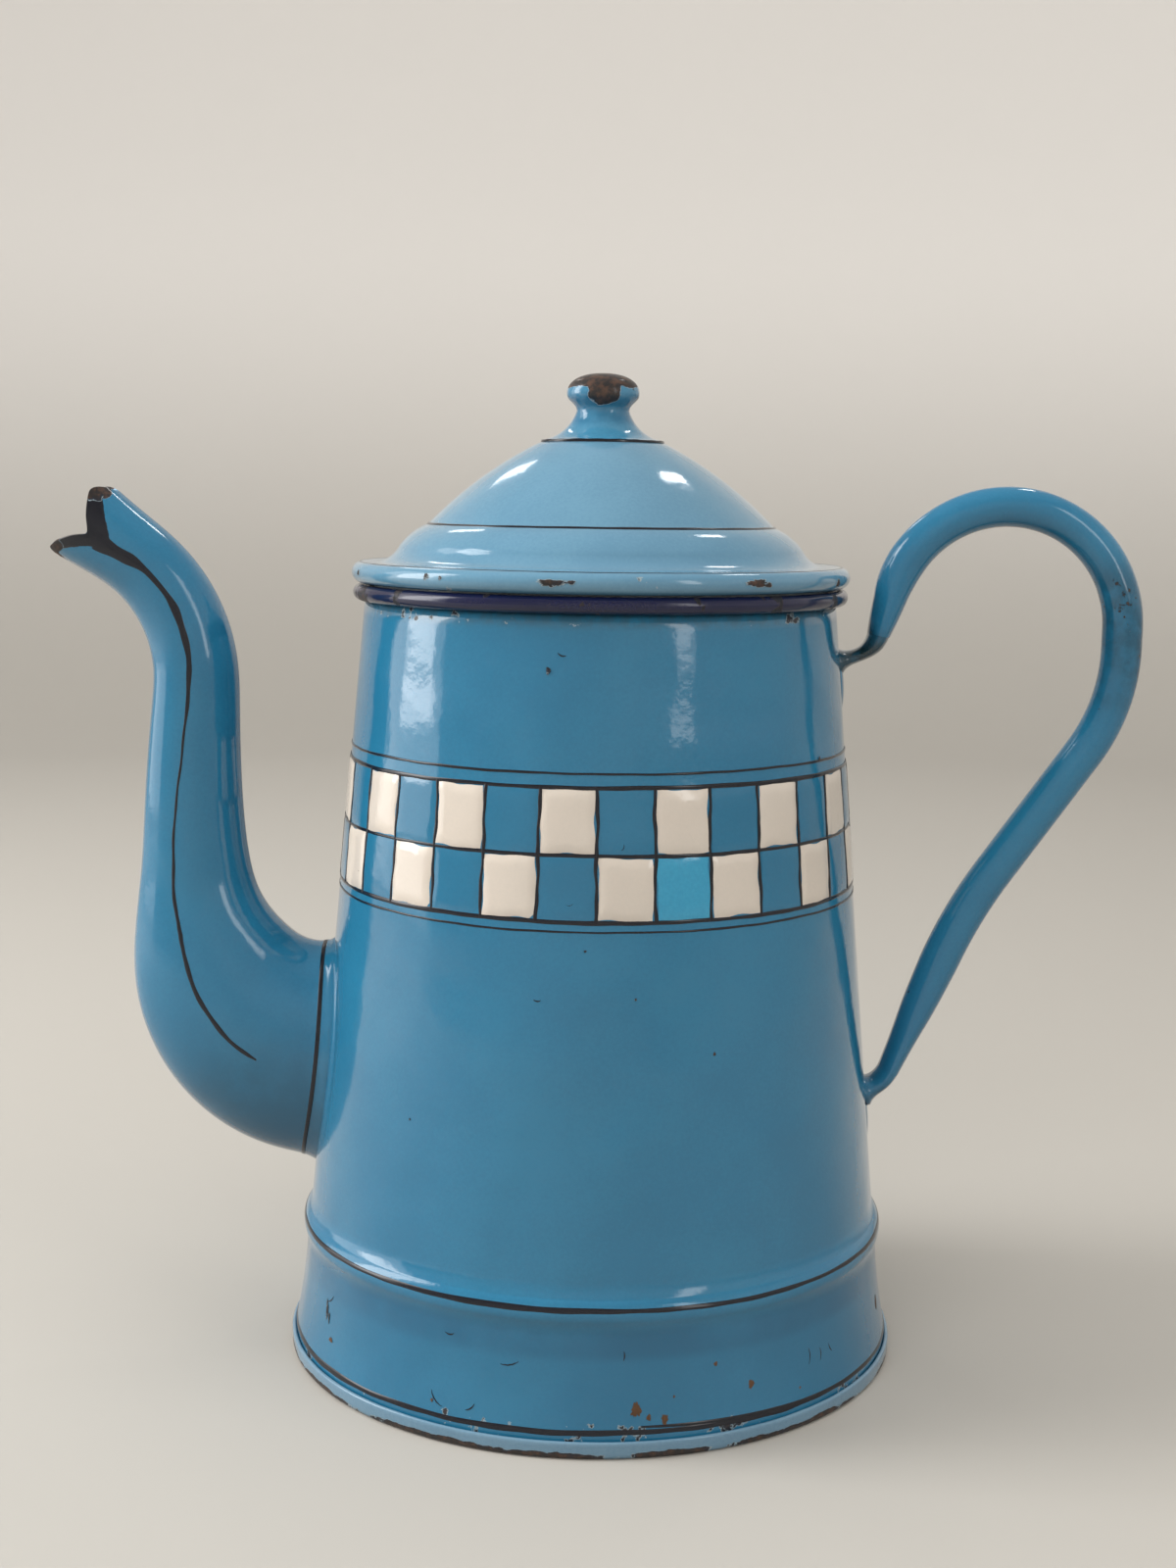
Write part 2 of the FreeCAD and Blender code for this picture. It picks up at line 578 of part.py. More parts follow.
bend_out = size("strap_lower_bend")
strap_start = lower_end + heading(tail_down) * size("weld_gap")
arc_step = (heading(tail_down + 90.0) - heading(wall_down + 90.0)) * bend_out
left = leg_line - wall_distance(lower_end) - arc_step.x - wall_slope * arc_step.z
arc_start = lower_end + heading(tail_down) * (left / closing)
lower_centre = arc_start + heading(tail_down + 90.0) * bend_out
lower_leg = arc_start + arc_step
strap("handle_lower_strap", [
    Part.makeLine(strap_start, arc_start),
    arc(lower_centre, tail_down - 90.0, wall_down - 90.0, bend_out),
    Part.makeLine(lower_leg, lower_leg + heading(wall_down) * size("strap_lower_leg")),
], strap_start, tail_down)

doc.recompute()

PIECES = [
    "body_shell", "bottom_disc", "spout_near_half", "spout_far_half", "handle_tube",
    "handle_upper_strap", "handle_lower_strap", "lid_shell", "lid_collar", "lid_knob",
]
for item in doc.Objects:
    if "Invalid" in item.State or "Error" in item.State:
        raise RuntimeError(f"{item.Name} did not build: {item.State}")
os.makedirs("parts", exist_ok=True)
for name in PIECES:
    shape = doc.getObject(name).Shape
    if shape.isNull() or not shape.isValid() or len(shape.Solids) != 1:
        raise RuntimeError(f"{name} is not one sound solid")
    if name == "body_shell":
        uncut = doc.getObject("body_shell_turn").Shape.Volume
        if shape.Volume >= uncut - 1.0:
            raise RuntimeError("strainer holes did not cut")
    print(f"{name}: {shape.Volume:.0f} mm3")
    shape.exportStep(f"parts/{name}.step")
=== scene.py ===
import logging
import math
from dataclasses import dataclass, field
from enum import Enum
from typing import Callable, Optional, Sequence

import bpy
from mathutils import Matrix, Vector


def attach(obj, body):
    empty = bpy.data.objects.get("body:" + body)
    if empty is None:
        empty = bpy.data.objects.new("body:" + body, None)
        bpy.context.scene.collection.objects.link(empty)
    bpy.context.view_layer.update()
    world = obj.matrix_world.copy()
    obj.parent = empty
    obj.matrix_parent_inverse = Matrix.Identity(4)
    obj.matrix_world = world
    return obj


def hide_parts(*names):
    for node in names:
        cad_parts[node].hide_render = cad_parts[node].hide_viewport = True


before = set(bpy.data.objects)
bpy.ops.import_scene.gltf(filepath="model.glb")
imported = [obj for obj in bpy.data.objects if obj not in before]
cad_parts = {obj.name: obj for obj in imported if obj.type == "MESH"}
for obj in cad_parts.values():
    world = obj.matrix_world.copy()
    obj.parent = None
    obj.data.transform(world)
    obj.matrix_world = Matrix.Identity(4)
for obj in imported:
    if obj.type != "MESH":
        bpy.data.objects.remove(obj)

LOG = logging.getLogger("coffee_pot")
MM = 0.001
FULL_TURN = 2 * math.pi
OPERATIONS = {"+": "ADD", "-": "SUBTRACT", "*": "MULTIPLY"}
Pair = tuple[float, float]
Triple = tuple[float, float, float]
Four = tuple[float, float, float, float]
Colour = Triple
Rows = list[list[Triple]]
Section = tuple[Vector, float, float, float]
Surface = Callable[[float, float, float], Triple]
Mark = Callable[[int, int], int]
Socket = bpy.types.NodeSocket
Material = bpy.types.Material
# Shares of a painted stroke's width, each with the rise of its bead over the skin.
STROKE: tuple[Pair, ...] = ((-0.5, -0.03), (-0.3, 0.12), (0.3, 0.12), (0.5, -0.03))
# Shares of a painted ring's width where its bead has points.
RING_SHARES = (-0.5, -0.38, -0.15, 0.15, 0.38, 0.5)
RING_SEGMENTS = 360
# Shares of a spot's size, each with its lift over the skin.
SPOT: tuple[Pair, ...] = ((0.03, 0.015), (0.35, 0.015), (0.65, 0.015), (0.86, 0.015), (1.0, -0.015))
SPOT_SEGMENTS = 48


class Rider(Enum):
    """CAD bodies that a piece can ride on."""

    POT = "pot"
    LID = "lid"


class Slot(Enum):
    """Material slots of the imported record."""

    BODY = "body_enamel"
    FOOT = "foot_enamel"
    LID = "lid_enamel"
    COLLAR = "collar_enamel"
    HANDLE = "handle_enamel"
    STRAP = "strap_enamel"


@dataclass(frozen=True)
class PotSizes:
    """Driving sizes of the pot in millimetres, as in the solids."""

    wall: float = 1.0
    foot_radius: float = 75.0
    foot_height: float = 4.2
    foot_round: float = 1.2
    floor_rise: float = 3.2
    seam_clearance: float = 0.05
    wall_foot_radius: float = 70.1
    wall_foot_height: float = 35.0
    shoulder_step: float = 1.7
    shoulder_drop: float = 4.6
    groove_step: float = 0.7
    groove_drop: float = 4.2
    skirt_sweep: float = 150.0
    shoulder_roll: float = 4.2
    groove_roll: float = 7.0
    mouth_radius: float = 56.8
    mouth_height: float = 186.2
    rim_roll: float = 1.9
    lid_gap: float = 0.3
    lid_overhang: float = 0.4
    lid_roll: float = 2.5
    lid_ledge: float = 4.0
    lid_ogee_wide: float = 5.0
    lid_ogee_rise: float = 3.9
    lid_ogee_round: float = 7.0
    lid_ring_wide: float = 6.8
    lid_ring_rise: float = 5.2
    lid_ring_round: float = 16.0
    lid_dome_rise: float = 19.6
    lid_dome_round: float = 97.0
    crown_radius: float = 15.1
    spout_height: float = 71.7
    strainer_hole: float = 5.0
    strainer_pitch: float = 8.0

    @property
    def slope(self) -> float:
        """Inward lean of the cone for each millimetre of height."""
        return (self.wall_foot_radius - self.mouth_radius) / (self.mouth_height - self.wall_foot_height)

    def cone(self, height: float) -> float:
        """Outside radius of the cone at a height above the table."""
        return self.mouth_radius + (self.mouth_height - height) * self.slope


def turns(count: int) -> list[float]:
    """Equal angles round a full turn.

    Args:
        count: number of angles.

    Returns:
        The angles in radians.
    """
    return [FULL_TURN * k / count for k in range(count)]


def spread(low: float, high: float, count: int) -> list[float]:
    """Equal steps from one value to another.

    Args:
        low: first value.
        high: last value.
        count: number of steps.

    Returns:
        The values, both ends among them.
    """
    return [low + (high - low) * k / count for k in range(count + 1)]


def mix(first: Sequence[float], last: Sequence[float], share: float) -> list[float]:
    """Values between two sets of values.

    Args:
        first: values at share 0.
        last: values at share 1.
        share: how far from the first to the last.

    Returns:
        The values at the share.
    """
    return [a + (b - a) * share for a, b in zip(first, last)]


def wobble(turn: float, seed: float) -> float:
    """Smooth hand-drawn unsteadiness.

    Args:
        turn: angle in radians round which it repeats.
        seed: number that picks one pattern.

    Returns:
        A value between about -1 and 1.
    """
    waves = ((0.5, 3, 1.7), (0.3, 8, 2.9), (0.25, 19, 4.3), (0.15, 41, 5.1))
    return sum(size * math.sin(rate * turn + seed * shift) for size, rate, shift in waves)


def heading(degrees: float) -> Vector:
    """Direction in the plane of the spout and handle.

    Args:
        degrees: angle from +X towards +Z.

    Returns:
        A unit vector.
    """
    angle = math.radians(degrees)
    return Vector((math.cos(angle), 0.0, math.sin(angle)))


def on_axis(radius: float, turn: float, height: float) -> Triple:
    """Point round the pot's axis.

    Args:
        radius: distance from the axis.
        turn: radians from the front, growing to the viewer's right.
        height: height above the table.

    Returns:
        The point in millimetres.
    """
    return radius * math.sin(turn), -radius * math.cos(turn), height


def arc_line(start: Pair, end: Pair, radius: float, left: bool, large: bool = False,
             steps: int = 10) -> list[Pair]:
    """Points along a circle arc, without its start.

    Args:
        start: first point.
        end: last point.
        radius: radius of the arc.
        left: whether the line turns left on its way.
        large: whether it takes the longer way round.
        steps: number of chords.

    Returns:
        The points after the start, the end among them.
    """
    across, up = end[0] - start[0], end[1] - start[1]
    half = math.hypot(across, up) / 2
    sign = 1 if left != large else -1
    rise = math.sqrt(max(radius * radius - half * half, 0.0)) * sign / (2 * half)
    middle = (start[0] + across / 2 - up * rise, start[1] + up / 2 + across * rise)
    first, last = (math.atan2(p[1] - middle[1], p[0] - middle[0]) for p in (start, end))
    if left and last <= first:
        last += FULL_TURN
    if not left and last >= first:
        last -= FULL_TURN
    return [(middle[0] + radius * math.cos(a), middle[1] + radius * math.sin(a))
            for a in spread(first, last, steps)[1:]]


def run_line(start: Pair, end: Pair, steps: int) -> list[Pair]:
    """Points along a straight, without its start.

    Args:
        start: first point.
        end: last point.
        steps: number of parts.

    Returns:
        The points after the start.
    """
    return [tuple(mix(start, end, k / steps)) for k in range(1, steps + 1)]


def curve(points: Sequence[Pair], value: float) -> float:
    """Smooth line through points.

    Args:
        points: (place, value) pairs in rising order of place.
        value: place to read.

    Returns:
        The value there, held beyond the ends.
    """
    if value <= points[0][0]:
        return points[0][1]
    for k, ((x0, y0), (x1, y1)) in enumerate(zip(points, points[1:])):
        if value <= x1:
            before, after = points[max(k - 1, 0)], points[min(k + 2, len(points) - 1)]
            step = x1 - x0
            leave = (y1 - before[1]) / (x1 - before[0]) * step
            reach = (after[1] - y0) / (after[0] - x0) * step
            s = (value - x0) / step
            return (y0 * (2 * s ** 3 - 3 * s ** 2 + 1) + leave * (s ** 3 - 2 * s ** 2 + s)
                    + y1 * (3 * s ** 2 - 2 * s ** 3) + reach * (s ** 3 - s ** 2))
    return points[-1][1]


def radius_at(outline: Sequence[Pair], height: float) -> float:
    """Radius of a rising outline.

    Args:
        outline: (radius, height) points going up.
        height: height to read.

    Returns:
        The radius, or 0 outside the outline.
    """
    for (r0, z0), (r1, z1) in zip(outline, outline[1:]):
        if z0 <= height <= z1 and z1 > z0:
            return r0 + (r1 - r0) * (height - z0) / (z1 - z0)
    return 0.0


class Piece:
    """One visual piece: a mesh in millimetres that becomes an object riding a body."""

    def __init__(self, name: str) -> None:
        """Starts an empty mesh.

        Args:
            name: plain name of the piece.
        """
        self.name = name
        self.points: list[Triple] = []
        self.faces: list[tuple[int, ...]] = []
        self.marks: list[int] = []

    def grid(self, rows: Sequence[Sequence[Triple]], around: bool = False, along: bool = False,
             mark: Mark = lambda row, column: 0) -> None:
        """Adds a grid of quads.

        Args:
            rows: equal rows of points.
            around: whether each row closes on itself.
            along: whether the last row joins the first.
            mark: material index of the quad at a row and column.
        """
        base, tall, wide = len(self.points), len(rows), len(rows[0])
        self.points += [point for row in rows for point in row]
        for i in range(tall if along else tall - 1):
            low, high = base + i * wide, base + (i + 1) % tall * wide
            for j in range(wide if around else wide - 1):
                n = (j + 1) % wide
                self.faces.append((low + j, low + n, high + n, high + j))
                self.marks.append(mark(i, j))

    def cap(self, row: Sequence[Triple], flip: bool = False, mark: int = 0) -> None:
        """Closes a ring with triangles to its middle.

        Args:
            row: points of the ring.
            flip: whether the faces turn over.
            mark: material index.
        """
        base, count = len(self.points), len(row)
        self.points += [*row, tuple(sum(p[i] for p in row) / count for i in range(3))]
        for j in range(count):
            first, second = base + j, base + (j + 1) % count
            self.faces.append((second, first, base + count) if flip else (first, second, base + count))
            self.marks.append(mark)

    def link(self, finishes: Sequence[Material]) -> bpy.types.Object:
        """Turns the mesh into an object of the scene.

        Args:
            finishes: materials, in the order of the marks.

        Returns:
            The new object.
        """
        mesh = bpy.data.meshes.new(self.name)
        mesh.from_pydata([Vector(p) * MM for p in self.points], [], self.faces)
        for finish in finishes:
            mesh.materials.append(finish)
        mesh.polygons.foreach_set("material_index", self.marks)
        mesh.polygons.foreach_set("use_smooth", [True] * len(self.faces))
        mesh.validate()
        obj = bpy.data.objects.new(self.name, mesh)
        bpy.context.scene.collection.objects.link(obj)
        LOG.info("piece %s: %d faces", self.name, len(self.faces))
        return obj

    def make(self, rider: Rider, slot: Slot, finishes: Sequence[Material], *replaces: str) -> None:
        """Puts the piece on a body.

        Args:
            rider: CAD body that it rides on.
            slot: record slot of its finish; not used.
            finishes: materials, in the order of the marks.
            replaces: CAD nodes that it stands for.
        """
        obj = self.link(finishes)
        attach(obj, rider.value)
        if replaces:
            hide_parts(*replaces)


def lathe(piece: Piece, outline: Sequence[Pair], segments: int, closed: bool = False,
          mark: Mark = lambda row, column: 0,
          shift: Callable[[float, float], float] = lambda turn, height: 0.0) -> None:
    """Turns an outline about the pot's axis.

    Args:
        piece: mesh that receives the faces.
        outline: (radius, height) points, anticlockwise as seen with the axis on the left.
        segments: parts of the full turn.
        closed: whether the outline joins up.
        mark: material index by row and column.
        shift: outward change of the radius by turn and height.
    """
    rows = [[on_axis(max(r + shift(a, z), 0.0), a, z) for a in turns(segments)] for r, z in outline]
    piece.grid(rows, around=True, along=closed, mark=mark)


def ring_line(piece: Piece, place: Pair, lean: float, width: float, rise: float, seed: float,
              unsteady: float) -> None:
    """Painted line round the axis, as a low rounded bead of enamel.

    Args:
        piece: mesh that receives the line.
        place: radius of the skin under the line, and its height.
        lean: direction of the skin, degrees from +R towards +Z.
        width: width of the line.
        rise: height of the bead above the skin.
        seed: pattern of the unsteady hand.
        unsteady: drift of the line in millimetres.
    """
    along, sunk, uneven = heading(lean), 0.03, 0.22
    rows = []
    for share in RING_SHARES:
        lift = rise * (1 - (2 * abs(share)) ** 4) - sunk
        row = []
        for turn in turns(RING_SEGMENTS):
            step = width * share * (1.0 + uneven * wobble(turn, seed + 3.1)) + unsteady * wobble(turn, seed)
            row.append(on_axis(place[0] + along.x * step + along.z * lift, turn,
                               place[1] + along.z * step - along.x * lift))
        rows.append(row)
    piece.grid(rows, around=True)


def blob(piece: Piece, skin: Surface, centre: Pair, half: Pair, rise: float, seed: float,
         halo: int = 0) -> None:
    """Ragged spot that lies on a skin.

    Args:
        piece: mesh that receives the spot.
        skin: point of the skin at two coordinates in millimetres and a height.
        centre: middle of the spot.
        half: half sizes of the spot.
        rise: height of its middle above the skin.
        seed: pattern of its edge.
        halo: material index of its outer ring.
    """
    rows = []
    for share, lift in SPOT:
        row = []
        for turn in turns(SPOT_SEGMENTS):
            ragged = 0.10 * math.sin(11 * turn + seed)
            ragged += 0.09 * math.sin(17 * turn + seed * 2.3) * math.sin(5 * turn + seed)
            edge = share * (1.0 + 0.30 * wobble(turn, seed) + ragged)
            row.append(skin(centre[0] + half[0] * edge * math.cos(turn),
                            centre[1] + half[1] * edge * math.sin(turn), rise * (1 - share * share) + lift))
        rows.append(row)
    piece.grid(rows, around=True, mark=lambda row, column: halo if row == len(rows) - 2 else 0)
    piece.cap(rows[0])


class Nodes:
    """Shorthand for building a node tree."""

    def __init__(self, tree: bpy.types.NodeTree) -> None:
        """Keeps the tree that receives the nodes."""
        self.tree = tree

    def add(self, kind: str, values: Optional[dict] = None, **settings: object) -> bpy.types.Node:
        """Adds one node.

        Args:
            kind: Blender's node type.
            values: socket name or index to a value, or to a socket to link from.
            settings: properties of the node.

        Returns:
            The node.
        """
        node = self.tree.nodes.new(kind)
        for key, value in settings.items():
            setattr(node, key, value)
        for key, value in (values or {}).items():
            socket = node.inputs[key]
            if isinstance(value, Socket):
                self.tree.links.new(value, socket)
            else:
                socket.default_value = (*value, 1.0) if socket.type == "RGBA" else value
        return node

    def math(self, sign: str, first: object, second: object = 0.0) -> Socket:
        """Adds a sum on numbers or sockets, by its sign or by Blender's name of it."""
        node = self.add("ShaderNodeMath", {0: first, 1: second}, operation=OPERATIONS.get(sign, sign))
        return node.outputs[0]

    def ramp(self, value: object, low: object, high: object, to_low: float = 0.0,
             to_high: float = 1.0) -> Socket:
        """Adds a smooth step of a value, from one result below low to another above high."""
        return self.add("ShaderNodeMapRange", {0: value, 1: low, 2: high, 3: to_low, 4: to_high},
                        interpolation_type="SMOOTHSTEP").outputs[0]

    def blend(self, share: object, first: object, second: object, kind: str = "MIX") -> Socket:
        """Mixes two colours or sockets by the share of the second, in one of Blender's ways."""
        return self.add("ShaderNodeMix", {0: share, 6: first, 7: second}, data_type="RGBA",
                        blend_type=kind).outputs[2]

    def place(self) -> Socket:
        """Adds the object's own coordinates, a vector in metres."""
        return self.add("ShaderNodeTexCoord").outputs["Object"]

    def noise(self, place: Socket, scale: object, detail: float = 3.0, rough: float = 0.5) -> Socket:
        """Adds a noise by its scale, the number of its finer layers and their strength."""
        return self.add("ShaderNodeTexNoise", {"Vector": place, "Scale": scale, "Detail": detail,
                                               "Roughness": rough}).outputs["Fac"]


class Effect(Nodes):
    """A shared shader node group with named sockets."""

    def __init__(self, name: str, inputs: dict[str, object], outputs: Sequence[str] = ("Mask",)) -> None:
        """Creates the group with its sockets.

        Args:
            name: name of the group.
            inputs: name of each input, with a number, a point or a colour as its default.
            outputs: name of each output.
        """
        super().__init__(bpy.data.node_groups.new(name, "ShaderNodeTree"))
        for label, default in inputs.items():
            kind = "Float" if isinstance(default, float) else "Color" if len(default) == 4 else "Vector"
            self._socket(label, "INPUT", kind).default_value = default
        for label in outputs:
            self._socket(label, "OUTPUT", "Color" if label == "Colour" else "Float")
        self.source = self.add("NodeGroupInput").outputs
        self.target = self.add("NodeGroupOutput").inputs

    def _socket(self, label: str, way: str, kind: str) -> bpy.types.NodeTreeInterfaceSocket:
        """Adds a socket to the group: its name, INPUT or OUTPUT, and what it carries."""
        return self.tree.interface.new_socket(name=label, in_out=way, socket_type="NodeSocket" + kind)

    def give(self, label: str, socket: Socket) -> None:
        """Links a result to an output of the group."""
        self.tree.links.new(socket, self.target[label])

    def use(self, nodes: Nodes, values: dict) -> bpy.types.NodeOutputs:
        """Places the group among a material's nodes, with a value or a socket for each input."""
        return nodes.add("ShaderNodeGroup", values, node_tree=self.tree).outputs


class Glaze(Effect):
    """Cloudy colour and the slight waviness of fired enamel."""

    DARKER: Colour = (0.62, 0.72, 0.80)

    def __init__(self) -> None:
        """Builds the group."""
        super().__init__("EnamelGlaze", {"Colour": (0.1, 0.2, 0.3, 1.0), "Cloud": 0.2, "Wave": 0.4},
                         ("Colour", "Height"))
        colour, place = self.source["Colour"], self.place()
        broad = self.noise(place, scale=34.0, detail=4.0, rough=0.55)
        fine = self.noise(place, scale=1300.0, detail=3.0, rough=0.7)
        cloud = self.math("+", self.math("*", broad, 0.55), self.math("*", fine, 0.45))
        dark = self.blend(1.0, colour, self.DARKER, "MULTIPLY")
        share = self.math("*", self.ramp(cloud, low=0.38, high=0.62), self.source["Cloud"])
        self.give("Colour", self.blend(share, colour, dark))
        slow = self.noise(place, scale=46.0, detail=1.0)
        peel = self.noise(place, scale=420.0, detail=2.0)
        height = self.math("+", slow, self.math("*", peel, 0.05))
        self.give("Height", self.math("*", height, self.source["Wave"]))


class RingZone(Effect):
    """Zone between two radii and two heights about the axis."""

    def __init__(self) -> None:
        """Builds the group."""
        super().__init__("RingZone", {"Radius Low": 0.0, "Radius High": 1.0, "Height Low": 0.0,
                                      "Height High": 1.0, "Soft": 0.001})
        x, y, height = self.add("ShaderNodeSeparateXYZ", {0: self.place()}).outputs
        radius = self.math("SQRT", self.math("+", self.math("*", x, x), self.math("*", y, y)))
        soft, masks = self.source["Soft"], []
        for name, value in (("Radius", radius), ("Height", height)):
            low, high = self.source[name + " Low"], self.source[name + " High"]
            inside = self.ramp(value, self.math("-", low, soft), low)
            beyond = self.ramp(value, high, self.math("+", high, soft))
            masks.append(self.math("*", inside, self.math("-", 1.0, beyond)))
        self.give("Mask", self.math("*", *masks))


class SpotZone(Effect):
    """Zone round one point."""

    def __init__(self) -> None:
        """Builds the group."""
        super().__init__("SpotZone", {"Place": (0.0, 0.0, 0.0), "Reach": 0.01})
        reach = self.source["Reach"]
        apart = self.add("ShaderNodeVectorMath", {0: self.place(), 1: self.source["Place"]},
                         operation="DISTANCE").outputs["Value"]
        core = self.math("*", reach, 0.35)
        self.give("Mask", self.ramp(apart, core, reach, to_low=1.0, to_high=0.0))


class StainAndShadeMask(Effect):
    """Uneven darker patch inside a zone, used for real dirt and for painted shade."""

    def __init__(self) -> None:
        """Builds the group."""
        super().__init__("EnamelStainAndShade", {"Zone": 0.0, "Amount": 0.5, "Scale": 200.0})
        cloud = self.noise(self.place(), self.source["Scale"], detail=4.0, rough=0.6)
        patchy = self.ramp(cloud, low=0.30, high=0.62)
        inside = self.math("*", self.source["Zone"], self.source["Amount"])
        self.give("Mask", self.math("*", inside, self.math("+", self.math("*", patchy, 0.7), 0.3)))


class Chips(Effect):
    """Chipped enamel inside a zone, with bare rusted iron and a dark ground coat."""

    GROUND: Colour = (0.008, 0.011, 0.020)
    IRON: Colour = (0.012, 0.010, 0.010)
    RUST: Colour = (0.062, 0.030, 0.018)

    def __init__(self) -> None:
        """Builds the group."""
        super().__init__("EnamelChips", {"Zone": 0.0, "Cover": 0.4, "Scale": 300.0,
                                         "Edge": (0.22, 0.28, 0.31, 1.0)}, ("Mask", "Colour", "Height"))
        scale, place = self.source["Scale"], self.place()
        flakes = self.add("ShaderNodeTexVoronoi", {"Vector": place, "Scale": scale}).outputs["Distance"]
        ragged = self.noise(place, scale, detail=5.0, rough=0.65)
        broad = self.noise(place, self.math("*", scale, 0.22), detail=2.0)
        wear = self.math("+", self.math("*", broad, 0.62), self.math("*", ragged, 0.30))
        wear = self.math("+", wear, self.math("*", flakes, 0.10))
        outside = self.math("-", 1.0, self.source["Zone"])
        limit = self.math("-", 0.86, self.math("*", self.source["Cover"], 0.56))
        limit = self.math("+", limit, self.math("*", outside, 0.6))
        mask = self.ramp(wear, limit, self.math("+", limit, 0.012))
        self.give("Mask", self.ramp(wear, self.math("-", limit, 0.016), self.math("-", limit, 0.004)))
        rust = self.ramp(self.noise(place, scale=520.0, detail=4.0, rough=0.7), low=0.42, high=0.66)
        iron = self.blend(rust, self.IRON, self.RUST)
        core = self.ramp(wear, self.math("+", limit, 0.015), self.math("+", limit, 0.07))
        bare = self.blend(core, self.GROUND, iron)
        self.give("Colour", self.blend(mask, self.source["Edge"], bare))
        self.give("Height", self.math("-", 1.0, mask))


class Specks(Effect):
    """Sparse pin holes and dark specks."""

    def __init__(self) -> None:
        """Builds the group."""
        super().__init__("EnamelSpecks", {"Scale": 160.0, "Size": 0.05})
        size = self.source["Size"]
        cells = self.add("ShaderNodeTexVoronoi", {"Vector": self.place(),
                                                  "Scale": self.source["Scale"]}).outputs
        pick = self.add("ShaderNodeSeparateColor", {0: cells["Color"]}).outputs[0]
        dot = self.ramp(cells["Distance"], self.math("*", size, 0.5), size, to_low=1.0, to_high=0.0)
        chosen = self.ramp(pick, low=0.80, high=0.81)
        self.give("Mask", self.math("*", chosen, dot))


class Effects:
    """The shared effects of the enamel."""

    def __init__(self) -> None:
        """Builds every group once."""
        self.glaze, self.ring, self.spot = Glaze(), RingZone(), SpotZone()
        self.stain, self.chips, self.specks = StainAndShadeMask(), Chips(), Specks()


@dataclass(frozen=True)
class Zone:
    """Where wear, dirt and painted shade gather, in metres: a spot if reach is set, or else a ring about the
    axis.
    """

    place: Triple = (0.0, 0.0, 0.0)
    reach: float = 0.0
    radius: Pair = (0.0, 1.0)
    height: Pair = (-1.0, 1.0)
    soft: float = 0.002

    def mask(self, nodes: Nodes, effects: Effects) -> Socket:
        """Adds the zone to a material.

        Args:
            nodes: the material's nodes.
            effects: the shared effects.

        Returns:
            The mask's socket.
        """
        if self.reach:
            return effects.spot.use(nodes, {"Place": self.place, "Reach": self.reach})["Mask"]
        return effects.ring.use(nodes, {
            "Radius Low": self.radius[0], "Radius High": self.radius[1], "Height Low": self.height[0],
            "Height High": self.height[1], "Soft": self.soft})["Mask"]


@dataclass(frozen=True)
class StainAndShade:
    """Darker or dirtier patch of a finish: some are real dirt, others are painted shade."""

    zone: Zone
    colour: Colour
    amount: float
    scale: float


@dataclass(frozen=True)
class Enamel:
    """One fired enamel finish."""

    name: str
    colour: Colour
    cloud: float = 0.40
    wave: float = 0.5
    roughness: float = 0.10
    zones: tuple[Zone, ...] = ()
    cover: float = 0.5
    scale: float = 300.0
    speck: Colour = (0.02, 0.016, 0.014)
    speck_size: float = 0.05
    speck_scale: float = 120.0
    coat: float = 0.35
    edge: Colour = (0.22, 0.28, 0.31)
    # Darker patches: real dirt, and painted shade where less light falls.
    stains: tuple[StainAndShade, ...] = ()
    bare_roughness: float = 0.62
    chip_depth: float = 0.4
    relief: float = 0.0007

    def build(self, effects: Effects) -> Material:
        """Makes the material.

        Args:
            effects: the shared effects.

        Returns:
            The material.
        """
        finish = bpy.data.materials.new(self.name)
        finish.use_nodes = True
        finish.node_tree.nodes.clear()
        nodes = Nodes(finish.node_tree)
        glaze = effects.glaze.use(nodes, {"Colour": self.colour, "Cloud": self.cloud, "Wave": self.wave})
        colour, height = glaze["Colour"], glaze["Height"]
        rough: object = self.roughness
        for stain in self.stains:
            mask = effects.stain.use(nodes, {"Zone": stain.zone.mask(nodes, effects), "Amount": stain.amount,
                                             "Scale": stain.scale})["Mask"]
            colour = nodes.blend(mask, colour, stain.colour)
        specks = effects.specks.use(nodes, {"Scale": self.speck_scale, "Size": self.speck_size})["Mask"]
        colour = nodes.blend(specks, colour, self.speck)
        if self.zones:
            worn = self.zones[0].mask(nodes, effects)
            for zone in self.zones[1:]:
                worn = nodes.math("MAXIMUM", worn, zone.mask(nodes, effects))
            chips = effects.chips.use(nodes, {"Zone": worn, "Cover": self.cover, "Scale": self.scale,
                                              "Edge": self.edge})
            colour = nodes.blend(chips["Mask"], colour, chips["Colour"])
            rough = nodes.ramp(chips["Mask"], 0.0, 1.0, self.roughness, self.bare_roughness)
            height = nodes.math("+", height, nodes.math("*", chips["Height"], self.chip_depth))
        bump = nodes.add("ShaderNodeBump", {"Height": height, "Strength": 1.0, "Distance": self.relief})
        shader = nodes.add("ShaderNodeBsdfPrincipled", {
            "Base Color": colour, "Roughness": rough, "Normal": bump.outputs[0], "IOR": 1.5,
            "Coat Weight": self.coat, "Coat Roughness": 0.04})
        nodes.add("ShaderNodeOutputMaterial", {"Surface": shader.outputs[0]}, is_active_output=True)
        finish.diffuse_color = (*self.colour, 1.0)
        return finish


